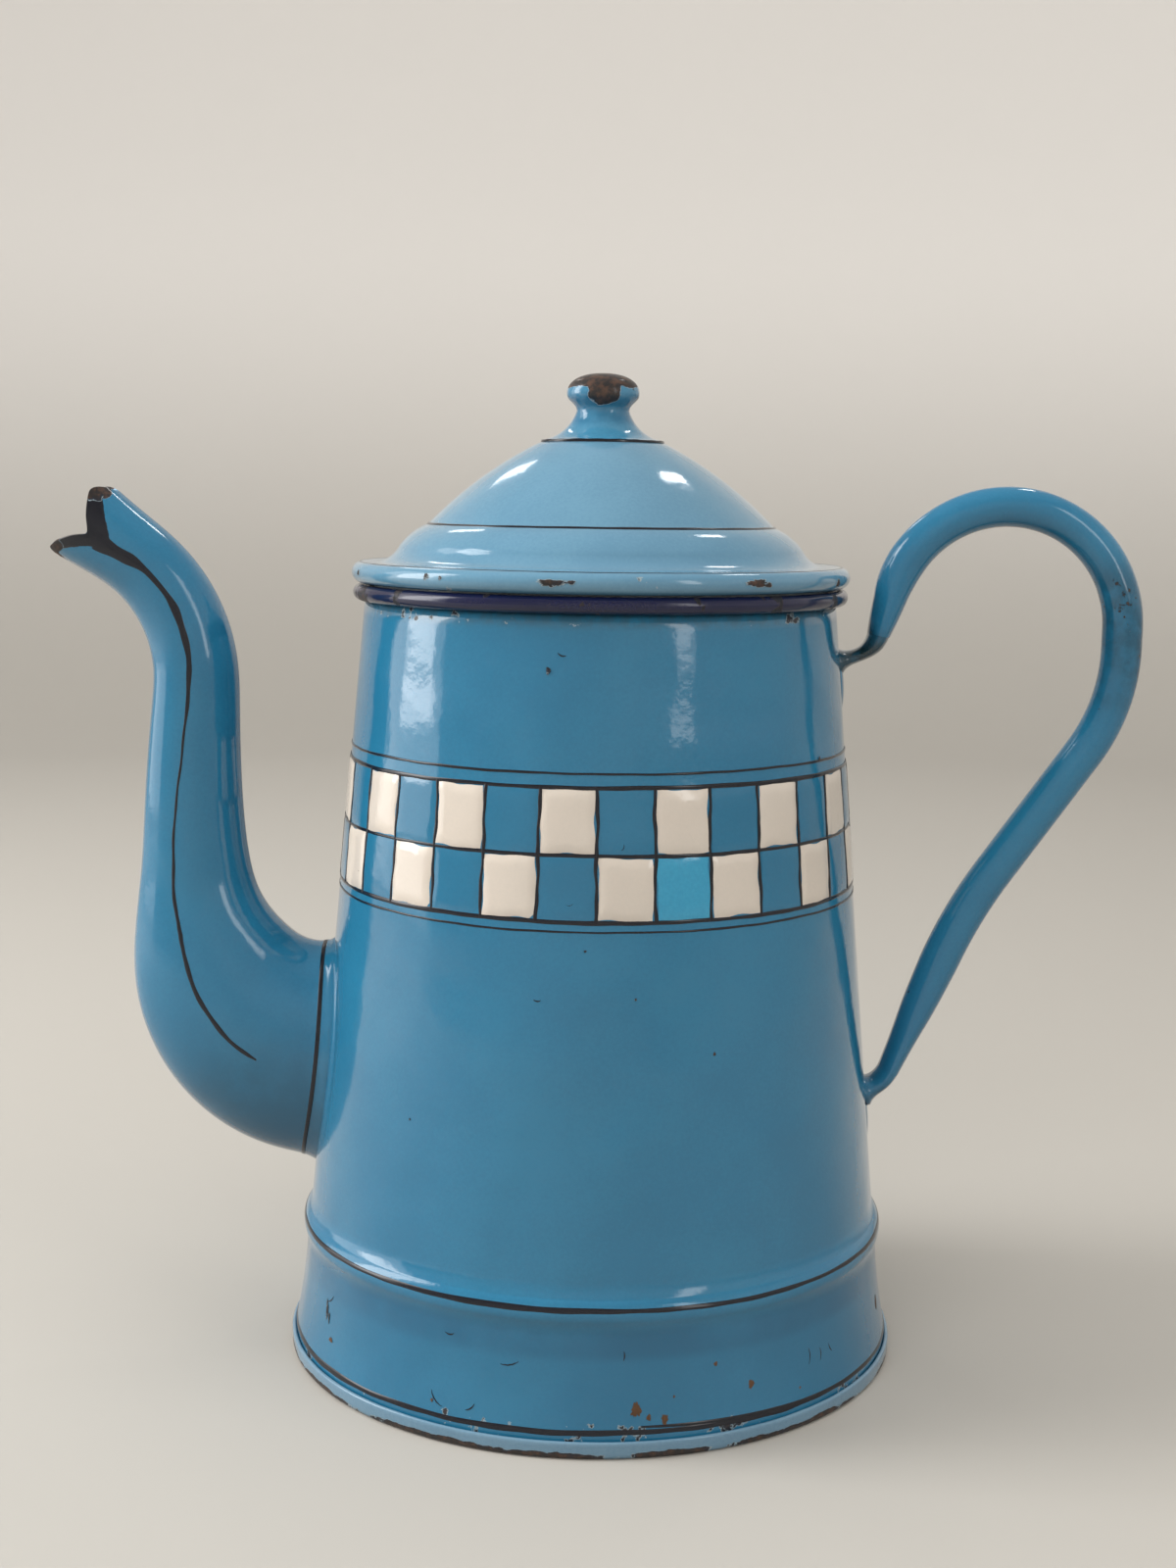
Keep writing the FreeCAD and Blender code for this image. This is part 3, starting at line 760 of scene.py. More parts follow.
class Finishes:
    """Every finish of the pot."""

    BLUE: Colour = (0.018, 0.151, 0.264)
    BLACK: Colour = (0.004, 0.005, 0.010)

    def __init__(self, effects: Effects) -> None:
        """Builds the materials.

        Args:
            effects: the shared effects.
        """
        self.body = Enamel(
            "body_blue", self.BLUE, speck_size=0.030, speck_scale=70.0, cover=0.40, scale=420.0, wave=1.5,
            zones=(Zone(height=(-0.01, 0.007), soft=0.006), Zone(height=(0.182, 0.19), soft=0.003)),
            # The first two are painted shade: darker over the skirt towards the foot, and darker still in
            # the groove under the shoulder. The third is real dirt under the rim.
            stains=(StainAndShade(Zone(height=(0.0, 0.026), soft=0.004), (0.007, 0.108, 0.205), 0.6, 24.0),
                    StainAndShade(Zone(height=(0.0232, 0.0268), soft=0.003), (0.006, 0.080, 0.160), 0.6, 40.0),
                    StainAndShade(Zone(height=(0.1832, 0.19), soft=0.003), (0.045, 0.056, 0.052), 0.5, 420.0)),
        ).build(effects)
        self.inside = Enamel("inside_pale", (0.50, 0.53, 0.54), cloud=0.5, speck_size=0.12,
                             roughness=0.2).build(effects)
        self.rim = Enamel(
            "rim_cobalt", (0.005, 0.007, 0.038), cloud=0.9, cover=0.50, scale=340.0, roughness=0.16,
            zones=(Zone(),), wave=1.2, coat=0.1, edge=(0.020, 0.014, 0.014)).build(effects)
        self.foot = Enamel("foot_pale", (0.130, 0.235, 0.320), cover=0.74, wave=1.2, roughness=0.2,
                           zones=(Zone(height=(-0.01, 0.0010), soft=0.0028),)).build(effects)
        # Paler than the body's blue, partly as painted reflection of the pale surroundings on the lid's
        # upward face.
        self.lid = Enamel(
            "lid_blue", (0.105, 0.234, 0.330), speck_size=0.03, speck_scale=80.0, cover=0.36, scale=240.0,
            wave=1.0, zones=(Zone(radius=(0.0585, 0.07), height=(0.1, 0.1925), soft=0.001),)).build(effects)
        self.knob = Enamel(
            "knob_blue", (0.048, 0.190, 0.300), cover=0.86, scale=420.0, wave=1.0, speck_size=0.12,
            speck_scale=260.0, edge=(0.30, 0.36, 0.40),
            zones=(Zone(radius=(0.0, 0.0080), height=(0.2362, 0.3), soft=0.0040),
                   Zone((0.0004, -0.0082, 0.2345), 0.0074)),
            # Painted shade: a darker band round the neck, under the knob's head.
            stains=(StainAndShade(Zone(height=(0.2275, 0.2325), soft=0.002), (0.018, 0.120, 0.220), 0.8, 200.0),),
        ).build(effects)
        self.spout = Enamel(
            "spout_blue", self.BLUE, speck_size=0.03, cover=0.95, scale=360.0, wave=1.2,
            zones=(Zone((-0.1205, -0.0045, 0.2100), 0.0060), Zone((-0.1205, 0.0045, 0.2100), 0.0050),
                   Zone((-0.1318, 0.0, 0.1945), 0.0062)),
            # Painted shade and dark reflection on the lower bulge of the spout.
            stains=(StainAndShade(Zone((-0.078, -0.012, 0.048), 0.042), (0.010, 0.085, 0.150), 0.7, 60.0),),
        ).build(effects)
        self.handle = Enamel(
            "handle_blue", self.BLUE, speck_size=0.09, speck_scale=230.0, cover=0.45, scale=1500.0, wave=1.2,
            edge=(0.010, 0.070, 0.120),
            zones=(Zone((0.126, -0.003, 0.184), 0.018), Zone((0.068, 0.0, 0.1765), 0.010),
                   Zone((0.0702, 0.0, 0.0672), 0.007)),
            # The first is real grime on the loop's right side and the second a dark worn patch at the upper
            # joint; the third is painted shade where the lower strap meets the wall.
            stains=(StainAndShade(Zone((0.124, -0.003, 0.178), 0.024), (0.008, 0.050, 0.085), 0.8, 150.0),
                    StainAndShade(Zone((0.0664, 0.0, 0.1752), 0.0075), (0.004, 0.014, 0.018), 0.95, 420.0),
                    StainAndShade(Zone((0.0690, 0.0, 0.0620), 0.009), (0.005, 0.035, 0.062), 0.8, 300.0)),
        ).build(effects)
        self.strap = Enamel(
            "strap_worn", (0.012, 0.100, 0.170), cover=0.30, scale=520.0, wave=1.6, roughness=0.18,
            zones=(Zone((0.0650, 0.0, 0.1715), 0.013),), edge=(0.03, 0.05, 0.06),
            stains=(StainAndShade(Zone((0.0632, 0.0, 0.1716), 0.012), (0.006, 0.018, 0.022), 1.0, 200.0),),
        ).build(effects)
        self.ground = Enamel("ground_coat", (0.23, 0.29, 0.32), cloud=0.6, wave=1.6, roughness=0.4,
                             coat=0.0).build(effects)
        self.line = Enamel("line_black", self.BLACK, cloud=0.1, wave=0.4, roughness=0.16, speck_size=0.0,
                           coat=0.0).build(effects)
        self.fork = Enamel(
            "fork_black", self.BLACK, cloud=0.1, wave=1.2, roughness=0.18, speck_size=0.06,
            speck_scale=260.0, coat=0.0, cover=0.92, scale=420.0, edge=(0.30, 0.38, 0.42),
            zones=(Zone((-0.1212, -0.0052, 0.2090), 0.0064), Zone((-0.1318, -0.0042, 0.1956), 0.0075),
                   Zone((-0.1318, 0.0042, 0.1956), 0.0060))).build(effects)
        self.white = Enamel("tile_white", (0.575, 0.51, 0.44), cloud=0.10, wave=1.6,
                            speck_scale=200.0).build(effects)
        self.tile = Enamel("tile_blue", (0.015, 0.140, 0.248), cloud=0.3, wave=1.5,
                           speck_size=0.02).build(effects)
        self.bright = Enamel("tile_turquoise", (0.035, 0.290, 0.455), cloud=0.5, wave=1.5,
                             speck_size=0.02).build(effects)
        self.iron = Enamel("bare_iron", (0.020, 0.013, 0.010), cloud=0.6, wave=2.0, roughness=0.6, coat=0.0,
                           cover=0.7, scale=700.0, zones=(Zone(),)).build(effects)
        self.rust = Enamel("rust_spot", (0.10, 0.045, 0.018), cloud=0.8, wave=2.0, roughness=0.7,
                           coat=0.0).build(effects)


@dataclass
class Assembly:
    """A sub-assembly, with the sizes and finishes that all of them share."""

    finishes: Finishes
    sizes: PotSizes = PotSizes()


@dataclass
class PotBody(Assembly):
    """Tapered wall with its skirt, rolled rim and seamed bottom."""

    segments: int = 256
    wall_dent: float = 0.05
    rim_dent: float = 0.06
    seam_dent: float = 0.10
    seam_zone: Pair = (0.1, 4.1)
    seam_bevel: float = 0.2
    floor_bevel: float = 0.4
    lip_roll: float = 0.52
    strainer_reach: Pair = (12.5, 22.0)
    strainer_row: float = 3.5
    strainer_stand: float = 0.06

    def skirt(self) -> list[Pair]:
        """Outside outline from the foot seam to the cone.

        Returns:
            (radius, height) points going up.
        """
        s = self.sizes
        edge = (s.foot_radius - s.wall - s.seam_clearance, s.foot_height + s.wall)
        shoulder = (s.wall_foot_radius + s.shoulder_step, s.wall_foot_height - s.shoulder_drop)
        groove = (shoulder[0] - s.groove_step, shoulder[1] - s.groove_drop)
        cone = (s.wall_foot_radius, s.wall_foot_height)
        points = [(edge[0], s.wall), edge]
        points += arc_line(edge, groove, s.skirt_sweep, False, steps=12)
        points += arc_line(groove, shoulder, s.groove_roll, False, steps=8)
        return points + arc_line(shoulder, cone, s.shoulder_roll, True, steps=10)

    def build(self) -> None:
        """Makes the wall, the strainer, the rim roll and the bottom."""
        s, f = self.sizes, self.finishes
        outside = self.skirt()
        under = (s.mouth_radius, s.mouth_height - math.sqrt(s.rim_roll ** 2 - (s.rim_roll - s.wall) ** 2))
        outside += run_line(outside[-1], under, 40)
        last = len(outside) - 1
        wall = Piece("body_wall")
        lathe(wall, outside + [(r - s.wall, z) for r, z in reversed(outside)], self.segments, True,
              lambda row, column: int(row >= last),
              lambda turn, height: self.wall_dent * math.sin(2 * turn + height * 0.02))
        wall.make(Rider.POT, Slot.BODY, [f.body, f.inside], "body_shell")
        self._strainer()
        inner = s.mouth_radius - s.wall
        roll = [under] + arc_line(under, (inner, s.mouth_height), s.rim_roll, True, True, 22)
        roll.append((inner, under[1]))
        rim = Piece("rim_roll")
        lathe(rim, roll, self.segments, True,
              shift=lambda turn, height: self.rim_dent * wobble(turn * 2, 1.3) * (height > under[1] + 0.2))
        rim.make(Rider.POT, Slot.BODY, [f.rim])
        self._bottom()

    def _bottom(self) -> None:
        """Makes the raised floor with its folded foot seam."""
        s, f = self.sizes, self.finishes
        channel = s.foot_radius - 2 * s.wall - 2 * s.seam_clearance
        inner, floor, inside = channel - s.wall, s.floor_rise, s.floor_rise + s.wall
        lip = s.foot_height - s.wall / 2
        outline = [(0.0, floor), (inner * 0.5, floor), (inner - self.floor_bevel, floor),
                   (inner, floor - self.floor_bevel), (inner, self.seam_bevel),
                   (inner + self.seam_bevel, 0.0), (s.foot_radius - s.foot_round, 0.0)]
        outline += arc_line(outline[-1], (s.foot_radius, s.foot_round), s.foot_round, True, steps=6)
        outline += run_line(outline[-1], (s.foot_radius, lip), 4)
        outline += arc_line(outline[-1], (s.foot_radius - s.wall, lip), self.lip_roll, True, steps=8)
        outline += [(s.foot_radius - s.wall, s.wall), (channel, s.wall), (channel, inside),
                    (channel * 0.5, inside), (0.0, inside)]
        inner_row = len(outline) - 4
        low, high = self.seam_zone
        disc = Piece("bottom_seam")
        lathe(disc, outline, self.segments, mark=lambda row, column: int(row >= inner_row),
              shift=lambda turn, height: (
                  self.seam_dent * min(wobble(turn * 3, 2.2), 0.0) * (low < height < high)))
        disc.make(Rider.POT, Slot.FOOT, [f.foot, f.inside], "bottom_disc")

    def _strainer(self) -> None:
        """Makes the strainer holes behind the spout: black discs on the wall's inner skin, painted shade in
        place of holes cut through it.
        """
        s = self.sizes
        holes = Piece("strainer_holes")
        spots = [(column * s.strainer_pitch / 2, level * self.strainer_row)
                 for level in range(-4, 5) for column in range(-4, 5) if (level + column) % 2 == 0]
        for across, up in spots:
            if (across / self.strainer_reach[0]) ** 2 + (up / self.strainer_reach[1]) ** 2 > 1.0:
                continue
            rows = []
            for radius in (share * s.strainer_hole / 2 for share in (0.02, 0.8, 1.0)):
                row = []
                for angle in turns(20):
                    y, z = across + radius * math.cos(angle), s.spout_height + up + radius * math.sin(angle)
                    row.append((-math.sqrt((s.cone(z) - s.wall - self.strainer_stand) ** 2 - y ** 2), y, z))
                rows.append(row)
            holes.grid(rows, around=True)
        holes.make(Rider.POT, Slot.BODY, [self.finishes.line])


@dataclass
class PaintedBand(Assembly):
    """Checker band and painted lines on the wall."""

    outline: Sequence[Pair] = ()
    tiles: int = 30
    # Height and width of each painted ring, from the top. The three in the middle border the tiles.
    lines: tuple[Pair, ...] = ((150.0, 0.55), (146.9, 0.95), (132.1, 0.8), (117.7, 0.95), (115.6, 0.5))
    line_rise: float = 0.11
    line_drift: float = 0.14
    bright: tuple[int, int] = (1, 1)
    margin: float = 0.42
    white_rise: float = 0.30
    bright_rise: float = 0.07
    blue_rise: float = 0.05
    tile_steps: int = 12
    tile_stand: float = 0.02
    tile_sunk: float = -0.04
    pillow: int = 7
    border_steps: int = 26
    border_width: float = 0.78
    # Height, width, pattern and drift of the lines on the shoulder and above the foot.
    low_lines: tuple[Four, ...] = ((32.9, 1.2, 9.0, 0.10), (5.75, 1.35, 4.4, 0.18))
    low_rise: float = 0.12
    # Degrees and height where the stray stroke starts, and how far it runs in each.
    stray_start: Pair = (9.0, 7.0)
    stray_run: Pair = (36.0, -1.0)
    stray_width: float = 0.95

    def skin(self, turn: float, height: float, rise: float) -> Triple:
        """Point on the cone, by radians from the front, height and distance outside the skin."""
        return on_axis(self.sizes.cone(height) + rise, turn, height)

    def build(self) -> None:
        """Makes the tiles and the lines."""
        s, f = self.sizes, self.finishes
        white, blue, bright = Piece("tiles_white"), Piece("tiles_blue"), Piece("tile_bright")
        for level in (0, 1):
            for index in range(self.tiles):
                if (index + level) % 2:
                    self._tile(white, index, level, self.white_rise)
                elif (index, level) == self.bright:
                    self._tile(bright, index, level, self.bright_rise)
                else:
                    self._tile(blue, index, level, self.blue_rise)
        white.make(Rider.POT, Slot.COLLAR, [f.white])
        blue.make(Rider.POT, Slot.BODY, [f.tile])
        bright.make(Rider.POT, Slot.BODY, [f.bright])
        lines = Piece("band_lines")
        lean = 90.0 + math.degrees(math.atan(s.slope))
        for number, (height, width) in enumerate(self.lines):
            place = (s.cone(height), height)
            ring_line(lines, place, lean, width, self.line_rise, 3.0 + number, self.line_drift)
        for index in range(self.tiles):
            self._border(lines, index)
        lines.make(Rider.POT, Slot.STRAP, [f.line])
        self._foot_lines()

    def _tile(self, piece: Piece, index: int, level: int, rise: float) -> None:
        """Adds one pillowed tile with a hand-cut edge.

        Args:
            piece: mesh that receives the tile.
            index: place round the pot.
            level: row, from the top.
            rise: thickness of the enamel.
        """
        seed = index * 1.37 + level * 5.1
        high, low = self.lines[level + 1][0], self.lines[level + 2][0]
        radius = self.sizes.cone((low + high) / 2)
        wide, gap = FULL_TURN / self.tiles, self.margin / radius
        shares = spread(0.0, 1.0, self.tile_steps)
        rows = []
        for v in shares:
            across = 0.22 * math.sin(5 * v + seed) + 0.12 * math.sin(13 * v + seed * 2)
            row = []
            for u in shares:
                up = 0.22 * math.sin(5 * u + seed * 1.4) + 0.12 * math.sin(12 * u + seed)
                pillow = (1 - abs(2 * u - 1) ** self.pillow) * (1 - abs(2 * v - 1) ** self.pillow)
                stand = self.tile_stand if pillow else self.tile_sunk
                row.append(self.skin(wide * index + gap + (wide - 2 * gap) * u + across / radius,
                                     low + self.margin + (high - low - 2 * self.margin) * v + up,
                                     rise * math.sqrt(pillow) + stand))
            rows.append(row)
        piece.grid(rows)

    def _border(self, piece: Piece, index: int) -> None:
        """Adds one upright border between tiles.

        Args:
            piece: mesh that receives the border.
            index: place round the pot.
        """
        heights = spread(self.lines[3][0], self.lines[1][0], self.border_steps)
        rows = []
        for share, rise in reversed(STROKE):
            row = []
            for k, height in enumerate(heights):
                drift = 0.16 * math.sin(k * 0.42 + index * 2.1) + 0.08 * math.sin(k * 1.1 + index)
                width = self.border_width + 0.16 * math.sin(k * 0.63 + index * 1.3)
                turn = FULL_TURN * index / self.tiles + (drift + width * share) / self.sizes.cone(height)
                row.append(self.skin(turn, height, rise))
            rows.append(row)
        piece.grid(rows)

    def _foot_lines(self) -> None:
        """Makes the lines on the shoulder and above the foot, and the stray stroke over the last one."""
        lines = Piece("foot_lines")
        near = 0.3
        for height, width, seed, unsteady in self.low_lines:
            low, high = (radius_at(self.outline, height + step) for step in (-near, near))
            lean = math.degrees(math.atan2(2 * near, high - low))
            ring_line(lines, ((low + high) / 2, height), lean, width, self.low_rise, seed, unsteady)
        rows = []
        for share, rise in STROKE:
            row = []
            for k in spread(0.0, 1.0, 60):
                taper = math.sin(math.pi * (0.06 + 0.9 * k)) ** 0.4
                degrees, height = (a + b * k for a, b in zip(self.stray_start, self.stray_run))
                height += share * self.stray_width * taper
                row.append(on_axis(radius_at(self.outline, height) + rise, math.radians(degrees), height))
            rows.append(row)
        lines.grid(rows)
        lines.make(Rider.POT, Slot.STRAP, [self.finishes.line])


@dataclass
class WallDamage(Assembly):
    """Rust dots, pin holes and hairline cracks on the wall."""

    outline: Sequence[Pair] = ()
    stand: float = 0.05
    spot_rise: float = 0.05
    crack_steps: int = 14
    crack_half: Pair = (0.13, 0.02)
    crack_rise: float = 0.03
    crack_shake: float = 14.0
    # Degrees round the wall, height, half width and half height of each spot.
    dots: tuple[Four, ...] = (
        (30.0, 13.0, 0.75, 1.0), (23.0, 19.0, 0.45, 0.5), (8.2, 10.7, 1.1, 1.5), (13.2, 8.2, 0.7, 1.2),
        (10.4, 8.9, 0.5, 0.7), (15.0, 13.0, 0.25, 0.3), (-28.7, 8.7, 0.3, 0.4), (-57.0, 12.0, 0.9, 0.5),
        (41.0, 9.0, 0.3, 0.3), (75.0, 15.0, 0.8, 1.6), (140.0, 12.0, 0.8, 1.1), (200.0, 17.0, 0.5, 0.7),
        (250.0, 9.0, 0.9, 0.9))
    pits: tuple[Four, ...] = (
        (-11.0, 172.0, 0.5, 0.8), (8.0, 101.0, 0.28, 0.28), (24.0, 88.0, 0.3, 0.4), (-2.0, 111.5, 0.3, 0.25),
        (58.0, 150.5, 0.35, 0.5), (-60.0, 18.0, 0.6, 2.2), (-58.8, 16.5, 0.35, 1.2),
        (-38.0, 70.0, 0.25, 0.25), (160.0, 90.0, 0.5, 0.6), (110.0, 60.0, 0.3, 0.3))
    # Degrees round the wall, height, length, first direction and curl of each crack.
    cracks: tuple[tuple[float, float, float, float, float], ...] = (
        (-29.0, 11.0, 4.6, -80.0, 70.0), (-22.0, 8.2, 3.0, 10.0, 60.0), (-27.0, 24.5, 2.6, -35.0, 80.0),
        (-16.0, 19.5, 4.6, -10.0, 50.0), (6.0, 21.5, 2.2, 70.0, 40.0), (44.0, 17.0, 4.0, -60.0, -60.0),
        (47.0, 13.0, 3.2, 60.0, 70.0), (50.0, 16.0, 2.6, -75.0, 40.0), (-9.0, 176.0, 2.2, -60.0, 90.0),
        (-12.0, 100.5, 1.8, -40.0, 80.0), (5.0, 133.5, 1.6, 30.0, 90.0), (-6.0, 121.5, 1.8, -30.0, 90.0),
        (120.0, 14.0, 4.0, -40.0, 60.0), (205.0, 12.0, 3.6, -70.0, 50.0), (300.0, 20.0, 3.0, 20.0, 70.0))

    def radius(self, height: float) -> float:
        """Outside radius of the skirt or cone at a height above the table."""
        return radius_at(self.outline, height) or self.sizes.cone(height)

    def skin(self, across: float, height: float, rise: float) -> Triple:
        """Point on the wall, by millimetres round it, height and distance outside the skin."""
        radius = self.radius(height)
        return on_axis(radius + self.stand + rise, across / radius, height)

    def build(self) -> None:
        """Makes the spots and the cracks."""
        f = self.finishes
        for name, spots, finish in (("rust_dots", self.dots, f.rust), ("pin_holes", self.pits, f.iron)):
            piece = Piece(name)
            for number, (degrees, height, wide, tall) in enumerate(spots):
                centre = (math.radians(degrees) * self.radius(height), height)
                blob(piece, self.skin, centre, (wide, tall), self.spot_rise, seed=number * 2.3 + 0.7)
            piece.make(Rider.POT, Slot.STRAP, [finish])
        self._cracks()

    def _cracks(self) -> None:
        """Makes the cracks, thin at both ends."""
        piece = Piece("hair_cracks")
        count = self.crack_steps
        middle, tip = self.crack_half
        for degrees, height, length, start, curl in self.cracks:
            x, y = math.radians(degrees) * self.radius(height), height
            rows: Rows = [[], [], []]
            for k in range(count + 1):
                shake = self.crack_shake * math.sin(k * 1.9 + degrees)
                angle = math.radians(start + curl * k / count + shake)
                half = middle * math.sin(math.pi * (k + 0.6) / (count + 1.2)) + tip
                for row, side, rise in zip(rows, (-half, 0.0, half), (0.0, self.crack_rise, 0.0)):
                    row.append(self.skin(x - side * math.sin(angle), y + side * math.cos(angle), rise))
                x += length / count * math.cos(angle)
                y += length / count * math.sin(angle)
            piece.grid(rows)
        piece.make(Rider.POT, Slot.STRAP, [self.finishes.line])


@dataclass
class Spout(Assembly):
    """Gooseneck spout of two stampings, with its beak, stripe and root line."""

    # Pairs of sizes are (in the plane of the spout, across it).
    root: Pair = (54.0, 35.0)
    elbow: float = 31.3
    shift: float = 2.9
    knee: Pair = (37.0, 26.0)
    rise: float = 61.0
    belly: float = 1.1
    shaft: Pair = (26.9, 22.5)
    neck: Pair = (20.6, 19.4)
    bend: float = 37.5
    bend_angle: float = 55.0
    throat: Pair = (18.9, 18.6)
    mouth: Pair = (21.6, 17.4)
    lip: float = 14.6
    knee_fade: float = 7.0
    seam_rise: float = 0.16
    seam_half: float = 0.035
    weld: float = 1.5
    weld_fade: float = 1.7
    root_gap: float = -0.5
    root_search: Pair = (-16.0, 40.0)
    halvings: int = 40
    columns: int = 96
    rings: int = 160
    black_rings: int = 6
    blue_edge: float = 0.8
    inset: float = 24.0
    step: float = 0.5
    samples: int = 400
    table: list[Section] = field(default_factory=list, init=False)
    # Length along the spout, with the stripe's place across it and then with its width.
    stripe: tuple[Pair, ...] = (
        (14.5, -2.9), (30.0, -3.6), (46.0, -4.7), (61.0, -3.8), (76.0, -2.9), (91.0, -1.3), (106.0, -0.2),
        (128.0, 1.0), (138.0, 0.75), (146.0, -0.4), (152.5, -1.3))
    stripe_width: tuple[Pair, ...] = (
        (14.5, 0.5), (17.0, 1.0), (30.0, 1.25), (48.0, 1.1), (62.0, 0.9), (78.0, 0.65), (98.0, 0.7),
        (107.0, 1.1), (118.0, 1.6), (128.0, 2.0), (135.0, 1.3), (139.0, 1.8), (144.0, 3.2), (152.0, 4.6))
    stripe_steps: int = 140
    stripe_bead: tuple[Pair, ...] = ((-0.5, -0.04), (-0.32, 0.11), (0.32, 0.11), (0.5, -0.04))
    # Place across the mouth, with the reach of the split beak and then with the depth of its black edge.
    edge: tuple[Pair, ...] = (
        (-10.8, -1.4), (-9.9, 0.7), (-8.4, 0.55), (-6.5, -0.6), (-4.2, -2.3), (-2.4, -4.1), (-1.3, -5.3),
        (-0.2, -4.9), (2.5, -2.7), (6.0, -0.5), (7.6, 0.2), (9.0, -0.5), (10.2, -2.4), (10.8, -4.4))
    paint: tuple[Pair, ...] = (
        (-10.4, 2.2), (-7.0, 3.2), (-3.6, 4.8), (-1.3, 8.2), (0.4, 7.4), (2.5, 6.6), (6.0, 5.0), (8.6, 3.0))
    lip_steps: int = 60
    lip_bead: tuple[Pair, ...] = (
        (0.0, 0.02), (0.05, 0.07), (0.35, 0.08), (0.7, 0.08), (0.93, 0.07), (1.0, -0.04))
    # Distance from the wall and rise of the line round the root.
    root_line: tuple[Pair, ...] = ((2.3, -0.04), (2.5, 0.12), (3.2, 0.12), (3.4, -0.04))
    root_lean: float = 0.35
    root_columns: int = 120

    def __post_init__(self) -> None:
        """Samples the sections along the spout, eased where one form runs into the next."""
        weights = ((-6.0, 1 / 9), (-3.0, 2 / 9), (0.0, 3 / 9), (3.0, 2 / 9), (6.0, 1 / 9))
        for k in range(self.samples):
            length = k * self.step - self.inset
            found = [(self.section(length + shift), weight) for shift, weight in weights]
            middle = sum((part[0] * weight for part, weight in found), Vector((0.0, 0.0, 0.0)))
            sizes = (sum(part[i] * weight for part, weight in found) for i in (1, 2, 3))
            self.table.append((middle, *sizes))

    @property
    def stops(self) -> Triple:
        """Lengths along the spout where the elbow, the rise and the bend end.

        Returns:
            The three lengths from the root.
        """
        first = self.elbow * math.pi / 2
        second = first + self.rise
        return first, second, second + self.bend * math.radians(self.bend_angle)

    def eased(self, length: float) -> Section:
        """Eased section of the spout at a length along it.

        Args:
            length: millimetres from the root, below 0 inside the pot.

        Returns:
            The middle, the heading in degrees, the tall size and the wide size.
        """
        place = (length + self.inset) / self.step
        first, last = self.table[int(place)], self.table[int(place) + 1]
        share = place - int(place)
        return first[0].lerp(last[0], share), *mix(first[1:], last[1:], share)

    def section(self, length: float) -> Section:
        """Section of the spout before easing.

        Args:
            length: millimetres from the root, below 0 inside the pot.

        Returns:
            The middle, the heading in degrees, the tall size and the wide size.
        """
        start = Vector((-self.sizes.cone(self.sizes.spout_height), 0.0, self.sizes.spout_height))
        first, second, third = self.stops
        middle = start + Vector((0.0, 0.0, self.elbow))
        knee = middle + Vector((-self.elbow, 0.0, 0.0))
        bend_middle = knee + Vector((-self.bend, 0.0, self.rise))
        if length <= 0:
            return start + Vector((-length, 0.0, 0.0)), 180.0, *self.root
        if length <= first:
            angle = length / first * 90.0
            turn = math.radians(angle)
            radius = self.elbow - self.shift * math.sin(turn) ** 2
            size = mix(self.root, self.knee, 1 - math.cos(turn))
            return middle + heading(270.0 - angle) * radius, 180.0 - angle, *size
        if length <= second:
            share = (length - first) / self.rise
            fade = math.exp(-self.knee_fade * share) * (1 - share)
            back = self.shift * fade * fade - self.belly * math.sin(math.pi * share)
            size = [a + (b - a) * share + (k - a) * fade
                    for a, b, k in zip(self.shaft, self.neck, self.knee)]
            return knee + Vector((back, 0.0, self.rise * share)), 90.0, *size
        share = (length - second) / (third - second)
        if share <= 1:
            angle = self.bend_angle * share
            size = mix(self.neck, self.throat, share)
            return bend_middle + heading(angle) * self.bend, 90.0 + angle, *size
        beyond, lip = length - third, 90.0 + self.bend_angle
        spot = bend_middle + heading(self.bend_angle) * self.bend + heading(lip) * beyond
        return spot, lip, *mix(self.throat, self.mouth, beyond / self.lip)

    def skin(self, length: float, turn: float, rise: float) -> Triple:
        """Point on the spout.

        Args:
            length: millimetres along the spout.
            turn: radians round it, 0 at the back and a quarter turn at the far side.
            rise: distance outside the skin.

        Returns:
            The point.
        """
        middle, degrees, tall, wide = self.eased(length)
        across = heading(degrees - 90.0)
        seam = self.seam_rise * math.exp(-(math.sin(turn) / self.seam_half) ** 2)
        point = middle + across * ((tall / 2 + rise + seam) * math.cos(turn))
        point.y += (wide / 2 + rise) * math.sin(turn)
        if rise > -self.sizes.wall / 2 and length < self.stops[0]:
            gap = math.hypot(point.x, point.y) - self.sizes.cone(point.z)
            flare = self.weld * math.exp(-max(gap, 0.0) / self.weld_fade)
            point += across * (flare * math.cos(turn))
            point.y += flare * math.sin(turn)
        return tuple(point)

    def start(self, turn: float, gap: float) -> float:
        """Length along the spout where a column leaves the wall.

        Args:
            turn: radians round the spout.
            gap: distance from the wall's skin.

        Returns:
            The length from the root.
        """
        low, high = self.root_search
        for _ in range(self.halvings):
            middle = (low + high) / 2
            x, y, z = self.skin(middle, turn, 0.0)
            if math.hypot(x, y) - self.sizes.cone(z) > gap:
                high = middle
            else:
                low = middle
        return high

    def end(self, turn: float) -> float:
        """Length from the root where a column ends at the beak, by radians round the spout."""
        return self.stops[2] + self.lip + curve(self.edge, self.mouth[0] / 2 * math.cos(turn))

